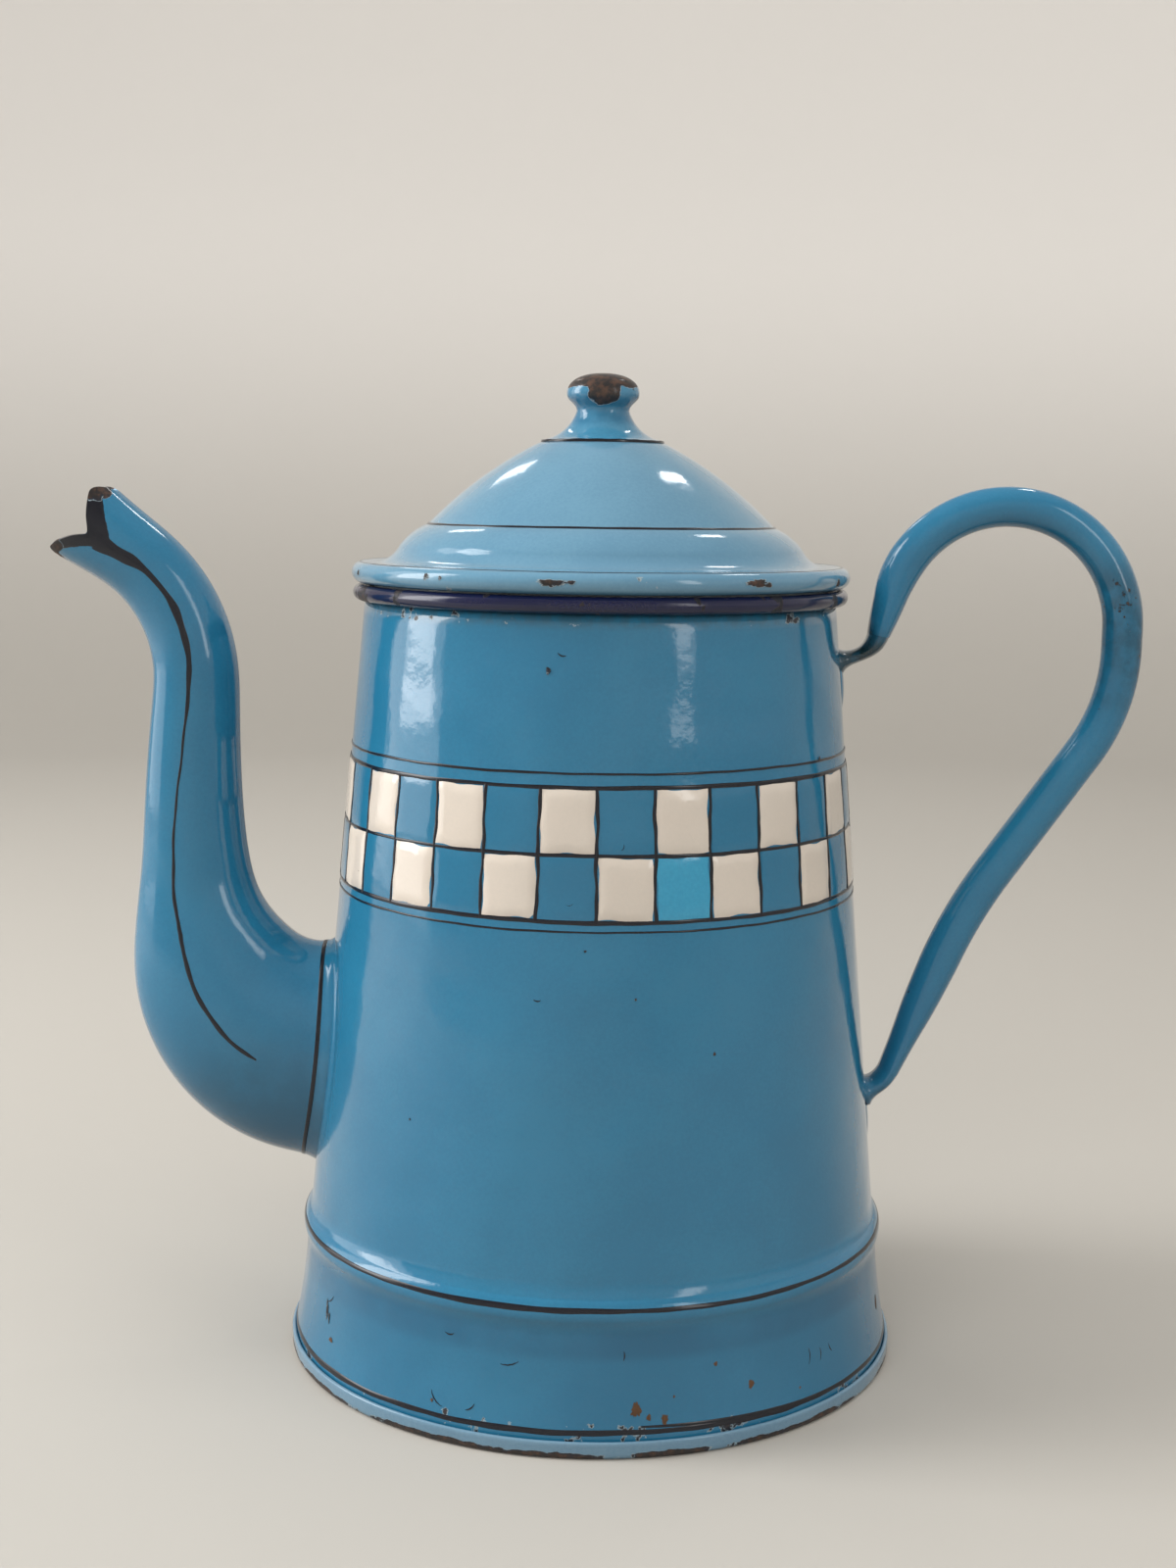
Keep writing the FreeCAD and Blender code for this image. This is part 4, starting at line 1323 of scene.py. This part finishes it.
    def build(self) -> None:
        """Makes the spout with its paint."""
        f = self.finishes
        around = turns(self.columns)
        reach = [(a, self.start(a, self.root_gap), self.end(a)) for a in around]
        outer, inner = ([[self.skin(low + (high - low) * share, a, rise) for a, low, high in reach]
                         for share in spread(0.0, 1.0, self.rings)] for rise in (0.0, -self.sizes.wall))
        spout = Piece("spout_skin")
        spout.grid([row[::-1] for row in outer], around=True)
        spout.grid([outer[-1], inner[-1]], around=True,
                   mark=lambda row, column: int(abs(math.cos(around[column])) < self.blue_edge))
        spout.grid(inner, around=True,
                   mark=lambda row, column: 2 if row < self.rings - self.black_rings else 1)
        spout.make(Rider.POT, Slot.BODY, [f.spout, f.fork, f.inside], "spout_near_half", "spout_far_half")
        paint = Piece("spout_paint")
        self._stripes(paint)
        self._lips(paint)
        root = [[self.skin(self.start(a, gap - self.root_lean * math.cos(a)), a, rise)
                 for a in reversed(turns(self.root_columns))] for gap, rise in self.root_line]
        paint.grid(root, around=True)
        paint.make(Rider.POT, Slot.STRAP, [f.fork])

    def _stripes(self, paint: Piece) -> None:
        """Adds the stripe on each side.

        Args:
            paint: mesh that receives the paint.
        """
        for side in (-1, 1):
            rows = []
            for share, rise in self.stripe_bead:
                row = []
                for length in spread(self.stripe[0][0], self.stripe[-1][0], self.stripe_steps):
                    width = curve(self.stripe_width, length) * (1.0 + 0.10 * math.sin(length * 0.8))
                    offset = curve(self.stripe, length) + 0.08 * math.sin(length * 0.5) + width * share
                    turn = math.acos(max(-1.0, min(1.0, 2 * offset / self.eased(length)[2]))) * side
                    row.append(self.skin(length, turn, rise))
                rows.append(row)
            paint.grid(rows[::side])

    def _lips(self, paint: Piece) -> None:
        """Adds the black fork along both edges of the beak.

        Args:
            paint: mesh that receives the paint.
        """
        for side in (-1, 1):
            rows = []
            for share, rise in self.lip_bead:
                row = []
                for across in spread(self.paint[0][0], self.paint[-1][0], self.lip_steps):
                    turn = math.acos(2 * across / self.mouth[0]) * side
                    depth = curve(self.paint, across) + 0.25 * wobble(across * 0.5, 3.0 + side)
                    row.append(self.skin(self.end(turn) - share * depth, turn, rise))
                rows.append(row)
            paint.grid(rows[::-side])


@dataclass
class Handle(Assembly):
    """Looped tube with flattened ends and a strap at each end."""

    segments: int = 40
    tube: float = 9.7
    reach: float = 131.6
    loop: float = 28.6
    loop_drop: float = 6.5
    loop_start: float = 168.0
    upper_run: float = 9.0
    drop: float = 5.0
    sweep: float = 45.0
    sweep_angle: float = 35.0
    slope_run: float = 36.0
    back: float = 120.0
    back_angle: float = 12.0
    foot_gap: float = 6.4
    head_shift: float = 0.7
    inset: float = 1.0
    sunk: float = 0.7
    pull: float = 0.42
    # Height where each arm meets the wall, and its heading there.
    upper_wall: Pair = (170.5, 195.0)
    lower_wall: Pair = (63.2, 205.0)
    flare: Pair = (2.0, 1.4)
    flare_fade: float = 1.4
    # Distance from the tube's upper or lower end, with its size in the plane or across it.
    head_tall: tuple[Pair, ...] = ((0.0, 5.5), (4.0, 6.8), (9.0, 8.0), (14.0, 9.2), (19.0, 9.7))
    head_wide: tuple[Pair, ...] = ((0.0, 10.6), (6.0, 10.5), (14.0, 9.9), (19.0, 9.7))
    foot_tall: tuple[Pair, ...] = ((0.0, 5.2), (8.0, 6.4), (18.0, 8.4), (30.0, 9.7))
    foot_wide: tuple[Pair, ...] = ((0.0, 10.6), (10.0, 10.2), (22.0, 9.8), (30.0, 9.7))
    # Share of an arm's length, with its size in the plane and across it.
    upper_form: tuple[Triple, ...] = (
        (0.0, 5.4, 10.5), (0.25, 4.7, 9.8), (0.5, 3.6, 8.8), (0.75, 3.2, 8.4), (1.0, 3.2, 8.4))
    lower_form: tuple[Triple, ...] = ((0.0, 5.1, 10.5), (0.4, 4.9, 10.0), (0.7, 4.5, 9.6), (1.0, 4.2, 9.2))
    # Height, half height, half width and rise of each pad.
    upper_pad: Four = (166.5, 8.0, 5.2, 0.9)
    lower_pad: Four = (58.5, 8.5, 5.0, 0.7)
    pad_shares: tuple[float, ...] = (0.05, 0.3, 0.55, 0.75, 0.88, 0.96, 1.0)
    pad_segments: int = 48
    pad_sunk: float = 0.08

    def path(self) -> list[tuple[Vector, float]]:
        """Middle line of the tube from its upper end to its lower one.

        Returns:
            Points, each with its heading in degrees.
        """
        s = self.sizes
        loop_middle = Vector((self.reach - self.tube / 2 - self.loop, 0.0, s.mouth_height - self.loop_drop))
        up, slope = self.loop_start - 90.0, -90.0 - self.sweep_angle
        begin = loop_middle + heading(self.loop_start) * self.loop
        line = [(begin - heading(up) * length, up) for length in spread(self.upper_run, 0.0, 10)[:-1]]
        line += [(loop_middle + heading(a) * self.loop, a - 90.0) for a in spread(self.loop_start, 0.0, 60)]
        turn_middle = loop_middle + Vector((self.loop - self.sweep, 0.0, -self.drop))
        line += [(turn_middle + heading(a) * self.sweep, a - 90.0)
                 for a in spread(0.0, -self.sweep_angle, 16)]
        spot = line[-1][0]
        line += [(spot + heading(slope) * length, slope) for length in spread(0.0, self.slope_run, 10)[1:-1]]
        back_middle = spot + heading(slope) * self.slope_run + heading(slope + 90.0) * self.back
        line += [(back_middle + heading(slope - 90.0 + a) * self.back, slope + a)
                 for a in spread(0.0, self.back_angle, 10)]
        spot, tail = line[-1]
        closing = heading(tail).x + s.slope * heading(tail).z
        run = (self.foot_gap - (spot.x - s.cone(spot.z))) / closing
        return line + [(spot + heading(tail) * length, tail) for length in spread(0.0, run, 14)[1:]]

    def build(self) -> None:
        """Makes the tube and the straps."""
        path = self.path()
        far = [0.0]
        for (one, _), (two, _) in zip(path, path[1:]):
            far.append(far[-1] + (two - one).length)
        rows = []
        for (spot, degrees), length in zip(path, far):
            tall = min(curve(self.head_tall, length), curve(self.foot_tall, far[-1] - length))
            wide = max(curve(self.head_wide, length), curve(self.foot_wide, far[-1] - length))
            lean = heading(degrees + 90.0) * (self.head_shift * max(0.0, 1.0 - length / self.upper_run))
            rows.append(self._section(spot + lean, degrees, tall, wide))
        tube = Piece("handle_skin")
        tube.grid(rows, around=True)
        tube.cap(rows[0], flip=True)
        tube.cap(rows[-1])
        tube.make(Rider.POT, Slot.HANDLE, [self.finishes.handle], "handle_tube")
        self._straps(path[0], path[-1])

    def _section(self, spot: Vector, degrees: float, tall: float, wide: float) -> list[Triple]:
        """Oval section round a spot, square to a heading, by its sizes in the plane and across it."""
        across, aside = heading(degrees + 90.0) * (tall / 2), Vector((0.0, wide / 2, 0.0))
        return [tuple(spot + across * math.cos(a) + aside * math.sin(a)) for a in turns(self.segments)]

    def _arm(self, start: Vector, leave: float, wall: Pair, form: Sequence[Triple]) -> Rows:
        """Sections of a flattened arm that curves into the wall and flares there.

        Args:
            start: first point of its line.
            leave: heading at the start.
            wall: height where it meets the wall, and heading into it.
            form: (share of the length, size in the plane, size across).

        Returns:
            The rows of points.
        """
        s = self.sizes
        height, arrive = wall
        end = Vector((s.cone(height) - self.sunk, 0.0, height))
        pull = (end - start).length * self.pull
        first, second = start + heading(leave) * pull, end - heading(arrive) * pull
        rows = []
        for t in spread(0.0, 1.0, 32):
            u = 1 - t
            spot = start * u ** 3 + first * (3 * u * u * t) + second * (3 * u * t * t) + end * t ** 3
            ahead = (first - start) * (u * u) + (second - first) * (2 * u * t) + (end - second) * (t * t)
            tall, wide = (curve([(f[0], f[i]) for f in form], t) for i in (1, 2))
            near = 2 * math.exp(-max(spot.x - s.cone(spot.z), 0.0) / self.flare_fade)
            rows.append(self._section(spot, math.degrees(math.atan2(ahead.z, ahead.x)),
                                      tall + self.flare[0] * near, wide + self.flare[1] * near))
        return rows

    def _pad(self, middle: float, half_tall: float, half_wide: float, rise: float) -> Rows:
        """Rings of the welded pad that swells under the wall's enamel.

        Args:
            middle: height of its middle.
            half_tall: half its height.
            half_wide: half its width.
            rise: how far it stands out.

        Returns:
            The rows of points, from the middle outward.
        """
        cone = self.sizes.cone
        rows = []
        for share in self.pad_shares:
            row = []
            for angle in turns(self.pad_segments):
                height = middle + half_tall * share * math.sin(angle)
                turn = math.pi / 2 + half_wide * share * math.cos(angle) / cone(middle)
                row.append(on_axis(cone(height) + rise * (1 - share ** 3) - self.pad_sunk, turn, height))
            rows.append(row)
        return rows

    def _straps(self, upper: tuple[Vector, float], lower: tuple[Vector, float]) -> None:
        """Makes the arms from the tube's ends to the wall, each with its pad.

        Args:
            upper: upper end of the tube, with its heading into the tube.
            lower: lower end of the tube, with its heading out of the tube.
        """
        f = self.finishes
        (top, up), (low, tail) = upper, lower
        top = top + heading(up) * self.inset + heading(up + 90.0) * self.head_shift
        low = low - heading(tail) * self.inset
        upper_arm = self._arm(top, up + 180.0, self.upper_wall, self.upper_form)
        lower_arm = self._arm(low, tail, self.lower_wall, self.lower_form)
        for name, rows, pad, finish in (("upper", upper_arm, self.upper_pad, f.strap),
                                        ("lower", lower_arm, self.lower_pad, f.handle)):
            piece = Piece("strap_" + name)
            piece.grid(rows, around=True)
            piece.cap(rows[0], flip=True)
            piece.cap(rows[-1])
            swell = self._pad(*pad)
            piece.grid(swell, around=True, mark=lambda row, column: 1)
            piece.cap(swell[0], mark=1)
            piece.make(Rider.POT, Slot.STRAP, [finish, f.body], f"handle_{name}_strap")


@dataclass
class Lid(Assembly):
    """Domed lid with its rolled edge, painted rings, collar and knob."""

    segments: int = 240
    foot: float = 14.7
    neck: Pair = (6.3, 7.6)
    head: Pair = (8.7, 4.0)
    swell: tuple[Pair, ...] = (
        (0.0, 0.0), (0.22, 0.10), (0.45, 0.43), (0.68, 0.82), (0.86, 0.97), (1.0, 1.0))
    head_top: float = 4.9
    head_power: Pair = (0.86, 0.9)
    flare: float = 10.4
    foot_edge: Pair = (1.0, 0.5)
    seat: float = 0.05
    knob_segments: int = 120
    under_inset: float = 0.7
    crown_inset: float = 0.4
    edge_dent: float = 0.07
    edge_zone: Pair = (188.0, 194.0)
    chip_stand: float = 0.06
    chip_rise: float = 0.03
    # Degrees round the lid, degrees up the roll, half width and half height of each chip.
    chips: tuple[Four, ...] = (
        (-10.0, 4.0, 3.4, 0.8), (-6.0, 8.0, 0.9, 0.5), (35.0, 6.0, 3.0, 0.9), (38.0, -4.0, 1.1, 0.6),
        (66.0, -12.0, 1.3, 1.0), (-40.0, 14.0, 0.8, 0.8), (-36.0, 10.0, 0.5, 0.5), (110.0, 0.0, 2.2, 0.9),
        (170.0, 8.0, 1.4, 0.8), (232.0, -4.0, 2.8, 0.9), (290.0, 6.0, 1.0, 0.7))

    @property
    def roll(self) -> Pair:
        """Middle of the rolled edge.

        Returns:
            Its radius and height.
        """
        s = self.sizes
        return (s.mouth_radius - s.wall + 2 * s.rim_roll + s.lid_overhang - s.lid_roll,
                s.mouth_height + s.rim_roll + s.lid_gap + s.lid_roll)

    def build(self) -> None:
        """Makes the lid, its paint, its chips and the knob, and dresses the collar."""
        s, f = self.sizes, self.finishes
        roll = self.roll
        ledge = (roll[0] - s.lid_ledge, roll[1] + s.lid_roll)
        ogee = (ledge[0] - s.lid_ogee_wide, ledge[1] + s.lid_ogee_rise)
        ring = (ogee[0] - s.lid_ring_wide, ogee[1] + s.lid_ring_rise)
        crown = (s.crown_radius, ring[1] + s.lid_dome_rise)
        edge = (roll[0], ledge[1])
        under = (roll[0] - math.sqrt(s.lid_roll ** 2 - (s.lid_roll - s.wall) ** 2), edge[1] - s.wall)
        outline = [(0.0, crown[1]), (crown[0] * 0.6, crown[1]), crown]
        outline += arc_line(crown, ring, s.lid_dome_round, False, steps=26)
        outline += arc_line(ring, ogee, s.lid_ring_round, False, steps=12)
        outline += arc_line(ogee, ledge, s.lid_ogee_round, True, steps=12)
        outline += run_line(ledge, edge, 4)
        outline += arc_line(edge, under, s.lid_roll, False, True, steps=24)
        below = [(ledge[0], under[1])]
        for end, radius, left in ((ogee, s.lid_ogee_round + s.wall, False), (ring, s.lid_ring_round, True)):
            corner = (end[0] - self.under_inset, end[1] - self.under_inset)
            below += arc_line(below[-1], corner, radius, left, steps=8)
        inner = (crown[0] - self.crown_inset, crown[1] - s.wall)
        below += arc_line(below[-1], inner, s.lid_dome_round, True, steps=14) + [(0.0, inner[1])]
        low, high = self.edge_zone
        lid = Piece("lid_skin")
        lathe(lid, (outline + below)[::-1], self.segments, mark=lambda row, column: int(row < len(below)),
              shift=lambda turn, height: self.edge_dent * wobble(turn, 6.0) * (low < height < high))
        lid.make(Rider.LID, Slot.LID, [f.lid, f.inside], "lid_shell")
        lines = Piece("lid_lines")
        ring_line(lines, (ring[0] + 0.1, ring[1] + 0.05), lean=140.0, width=0.85, rise=0.13, seed=1.0,
                  unsteady=0.08)
        ring_line(lines, (roll[0] + 0.43, edge[1] - 0.04), lean=170.0, width=0.52, rise=0.09, seed=2.4,
                  unsteady=0.08)
        ring_line(lines, (self.foot + 0.02, crown[1] + 0.32), lean=100.0, width=0.75, rise=0.12, seed=5.0,
                  unsteady=0.06)
        lines.make(Rider.LID, Slot.STRAP, [f.line])
        chips = Piece("lid_chips")
        for number, (degrees, tilt, wide, tall) in enumerate(self.chips):
            centre = (math.radians(degrees) * (roll[0] + s.lid_roll), math.radians(tilt) * s.lid_roll)
            blob(chips, self._roll_skin, centre, (wide, tall), self.chip_rise, seed=number * 3.1 + 0.4,
                 halo=1)
        chips.make(Rider.LID, Slot.STRAP, [f.iron, f.ground])
        self._knob(crown[1])
        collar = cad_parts["lid_collar"]
        collar.data.materials.clear()
        collar.data.materials.append(f.inside)

    def _roll_skin(self, across: float, along: float, rise: float) -> Triple:
        """Point on the rolled edge.

        Args:
            across: millimetres round the lid.
            along: millimetres up the roll from its outermost line.
            rise: distance outside the skin.

        Returns:
            The point.
        """
        roll, radius = self.roll, self.sizes.lid_roll
        angle, reach = along / radius, radius + self.chip_stand + rise
        return on_axis(roll[0] + reach * math.cos(angle), across / (roll[0] + radius),
                       roll[1] + reach * math.sin(angle))

    def _knob(self, crown: float) -> None:
        """Makes the hollow knob.

        Args:
            crown: height of the lid's crown.
        """
        foot = crown + self.seat
        inward, upward = self.foot_edge
        side, top = self.head_power
        neck = (self.neck[0], crown + self.neck[1])
        head = (self.head[0], neck[1] + self.head[1])
        outline = [(self.foot - inward, foot), (self.foot, foot), (self.foot, foot + upward)]
        outline += arc_line(outline[-1], neck, self.flare, False, steps=16)
        for share in spread(0.0, 1.0, 12)[1:]:
            outline.append((neck[0] + (head[0] - neck[0]) * curve(self.swell, share),
                            neck[1] + self.head[1] * share))
        for angle in spread(0.0, math.pi / 2, 16)[1:-1]:
            outline.append((head[0] * math.cos(angle) ** side,
                            head[1] + self.head_top * math.sin(angle) ** top))
        outline.append((0.0, head[1] + self.head_top))
        knob = Piece("knob_skin")
        lathe(knob, outline, self.knob_segments)
        knob.make(Rider.LID, Slot.LID, [self.finishes.knob], "lid_knob")


@dataclass(frozen=True)
class Panel:
    """One soft light: its place and aim in metres, its size, its power and whether gloss shows it."""

    name: str
    place: Triple
    aim: Triple
    size: Pair
    power: float
    seen: bool

    def build(self) -> None:
        """Adds the light to the scene."""
        lamp = bpy.data.lights.new(self.name, "AREA")
        lamp.shape = "RECTANGLE"
        lamp.size, lamp.size_y = self.size
        lamp.energy = self.power
        obj = bpy.data.objects.new(self.name, lamp)
        obj.visible_glossy = self.seen
        turn = (Vector(self.aim) - Vector(self.place)).to_track_quat("-Z", "Y")
        obj.matrix_world = Matrix.Translation(self.place) @ turn.to_matrix().to_4x4()
        bpy.context.scene.collection.objects.link(obj)


@dataclass
class Studio:
    """Plain pale floor, soft light and the photograph's camera."""

    place: Triple = (0.0, -0.5091, 0.2105)
    yaw: float = -0.0047
    pitch: float = 0.1387
    roll: float = -0.0136
    focal_pixels: float = 2136.0
    image_height: float = 1600.0
    sensor: float = 36.0
    floor: Colour = (0.41, 0.39, 0.355)
    floor_bounce: Colour = (0.20, 0.19, 0.17)
    backdrop: Colour = (0.76, 0.735, 0.70)
    sky: Colour = (1.0, 0.98, 0.95)
    sky_strength: float = 0.45
    # Floor and backdrop in millimetres: two radii of the flat, the sweep's radius and the top.
    flat: Pair = (400.0, 1200.0)
    sweep: float = 700.0
    backdrop_top: float = 3000.0
    segments: int = 64
    panels: tuple[Panel, ...] = (
        Panel("window_left", (-1.15, 0.03, 0.80), (0.0, 0.03, 0.80), (0.40, 1.25), 7.0, True),
        Panel("left_wall", (-1.20, 0.16, 0.62), (0.0, 0.16, 0.62), (0.95, 1.20), 5.0, True),
        Panel("left_fill", (-1.10, -0.10, 0.70), (0.0, 0.0, 0.10), (0.60, 1.00), 10.0, False),
        Panel("right_fill", (1.10, -0.60, 0.70), (0.0, 0.0, 0.10), (0.80, 1.00), 4.0, False),
        Panel("back_right", (0.53, 0.82, 1.35), (0.0, 0.0, 0.15), (0.08, 0.20), 0.7, True),
        Panel("back_left", (-0.52, 1.08, 1.10), (0.0, 0.0, 0.15), (0.09, 0.26), 0.4, True),
        Panel("window_right", (0.82, -0.98, 0.72), (0.0, 0.0, 0.72), (0.20, 0.9), 1.6, True),
        Panel("front_fill", (-0.35, -1.35, 0.9), (0.0, 0.0, 0.1), (1.2, 0.9), 10.0, False),
        Panel("sky", (-0.1, -0.1, 1.8), (0.0, 0.0, 0.1), (1.5, 1.5), 13.0, False))

    def build(self) -> None:
        """Makes the camera, the floor, the lights and the world."""
        self._camera()
        self._floor()
        for panel in self.panels:
            panel.build()
        world = bpy.data.worlds.new("studio")
        world.use_nodes = True
        background = world.node_tree.nodes["Background"].inputs
        background["Color"].default_value = (*self.sky, 1.0)
        background["Strength"].default_value = self.sky_strength
        bpy.context.scene.world = world

    def _camera(self) -> None:
        """Sets the camera where the photograph was taken from."""
        ahead = Vector((math.sin(self.yaw) * math.cos(self.pitch), math.cos(self.yaw) * math.cos(self.pitch),
                        -math.sin(self.pitch)))
        right = ahead.cross(Vector((0, 0, 1))).normalized()
        down = ahead.cross(right)
        turned_right = right * math.cos(self.roll) + down * math.sin(self.roll)
        turned_down = down * math.cos(self.roll) - right * math.sin(self.roll)
        turn = Matrix((turned_right, -turned_down, -ahead)).transposed()
        lens = bpy.data.cameras.new("camera")
        lens.sensor_fit = "VERTICAL"
        lens.sensor_height = self.sensor
        lens.lens = self.focal_pixels / self.image_height * self.sensor
        lens.clip_start = 0.01
        camera = bpy.data.objects.new("camera", lens)
        camera.matrix_world = Matrix.Translation(self.place) @ turn.to_4x4()
        bpy.context.scene.collection.objects.link(camera)
        bpy.context.scene.camera = camera

    def _floor(self) -> None:
        """Makes a pale floor that sweeps up into a backdrop all round."""
        near, far = self.flat
        outline = [(0.0, 0.0), (near, 0.0), (far, 0.0)]
        outline += arc_line(outline[-1], (far + self.sweep, self.sweep), self.sweep, True)
        outline.append((far + self.sweep, self.backdrop_top))
        sheet = Piece("floor")
        lathe(sheet, outline, self.segments)
        finish = bpy.data.materials.new("floor_pale")
        finish.use_nodes = True
        nodes = Nodes(finish.node_tree)
        height = nodes.add("ShaderNodeSeparateXYZ", {0: nodes.place()}).outputs[2]
        pale = nodes.blend(nodes.ramp(height, low=0.0, high=0.5), self.floor, self.backdrop)
        bounced = nodes.add("ShaderNodeLightPath").outputs["Is Diffuse Ray"]
        dim = nodes.blend(nodes.ramp(height, low=0.0, high=0.3), self.floor_bounce, self.backdrop)
        shader = finish.node_tree.nodes["Principled BSDF"].inputs
        finish.node_tree.links.new(nodes.blend(bounced, pale, dim), shader["Base Color"])
        shader["Roughness"].default_value = 0.9
        floor = sheet.link([finish])


def main() -> None:
    """Builds the pot piece by piece, then the studio round it."""
    logging.basicConfig(level=logging.INFO, format="%(message)s")
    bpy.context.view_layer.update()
    finishes = Finishes(Effects())
    body = PotBody(finishes)
    body.build()
    PaintedBand(finishes, outline=body.skirt()).build()
    WallDamage(finishes, outline=body.skirt()).build()
    for assembly in (Spout, Handle, Lid):
        assembly(finishes).build()
    Studio().build()
    bpy.context.scene.view_settings.view_transform = "Standard"
    bpy.context.view_layer.update()


if __name__ == "__main__":
    main()
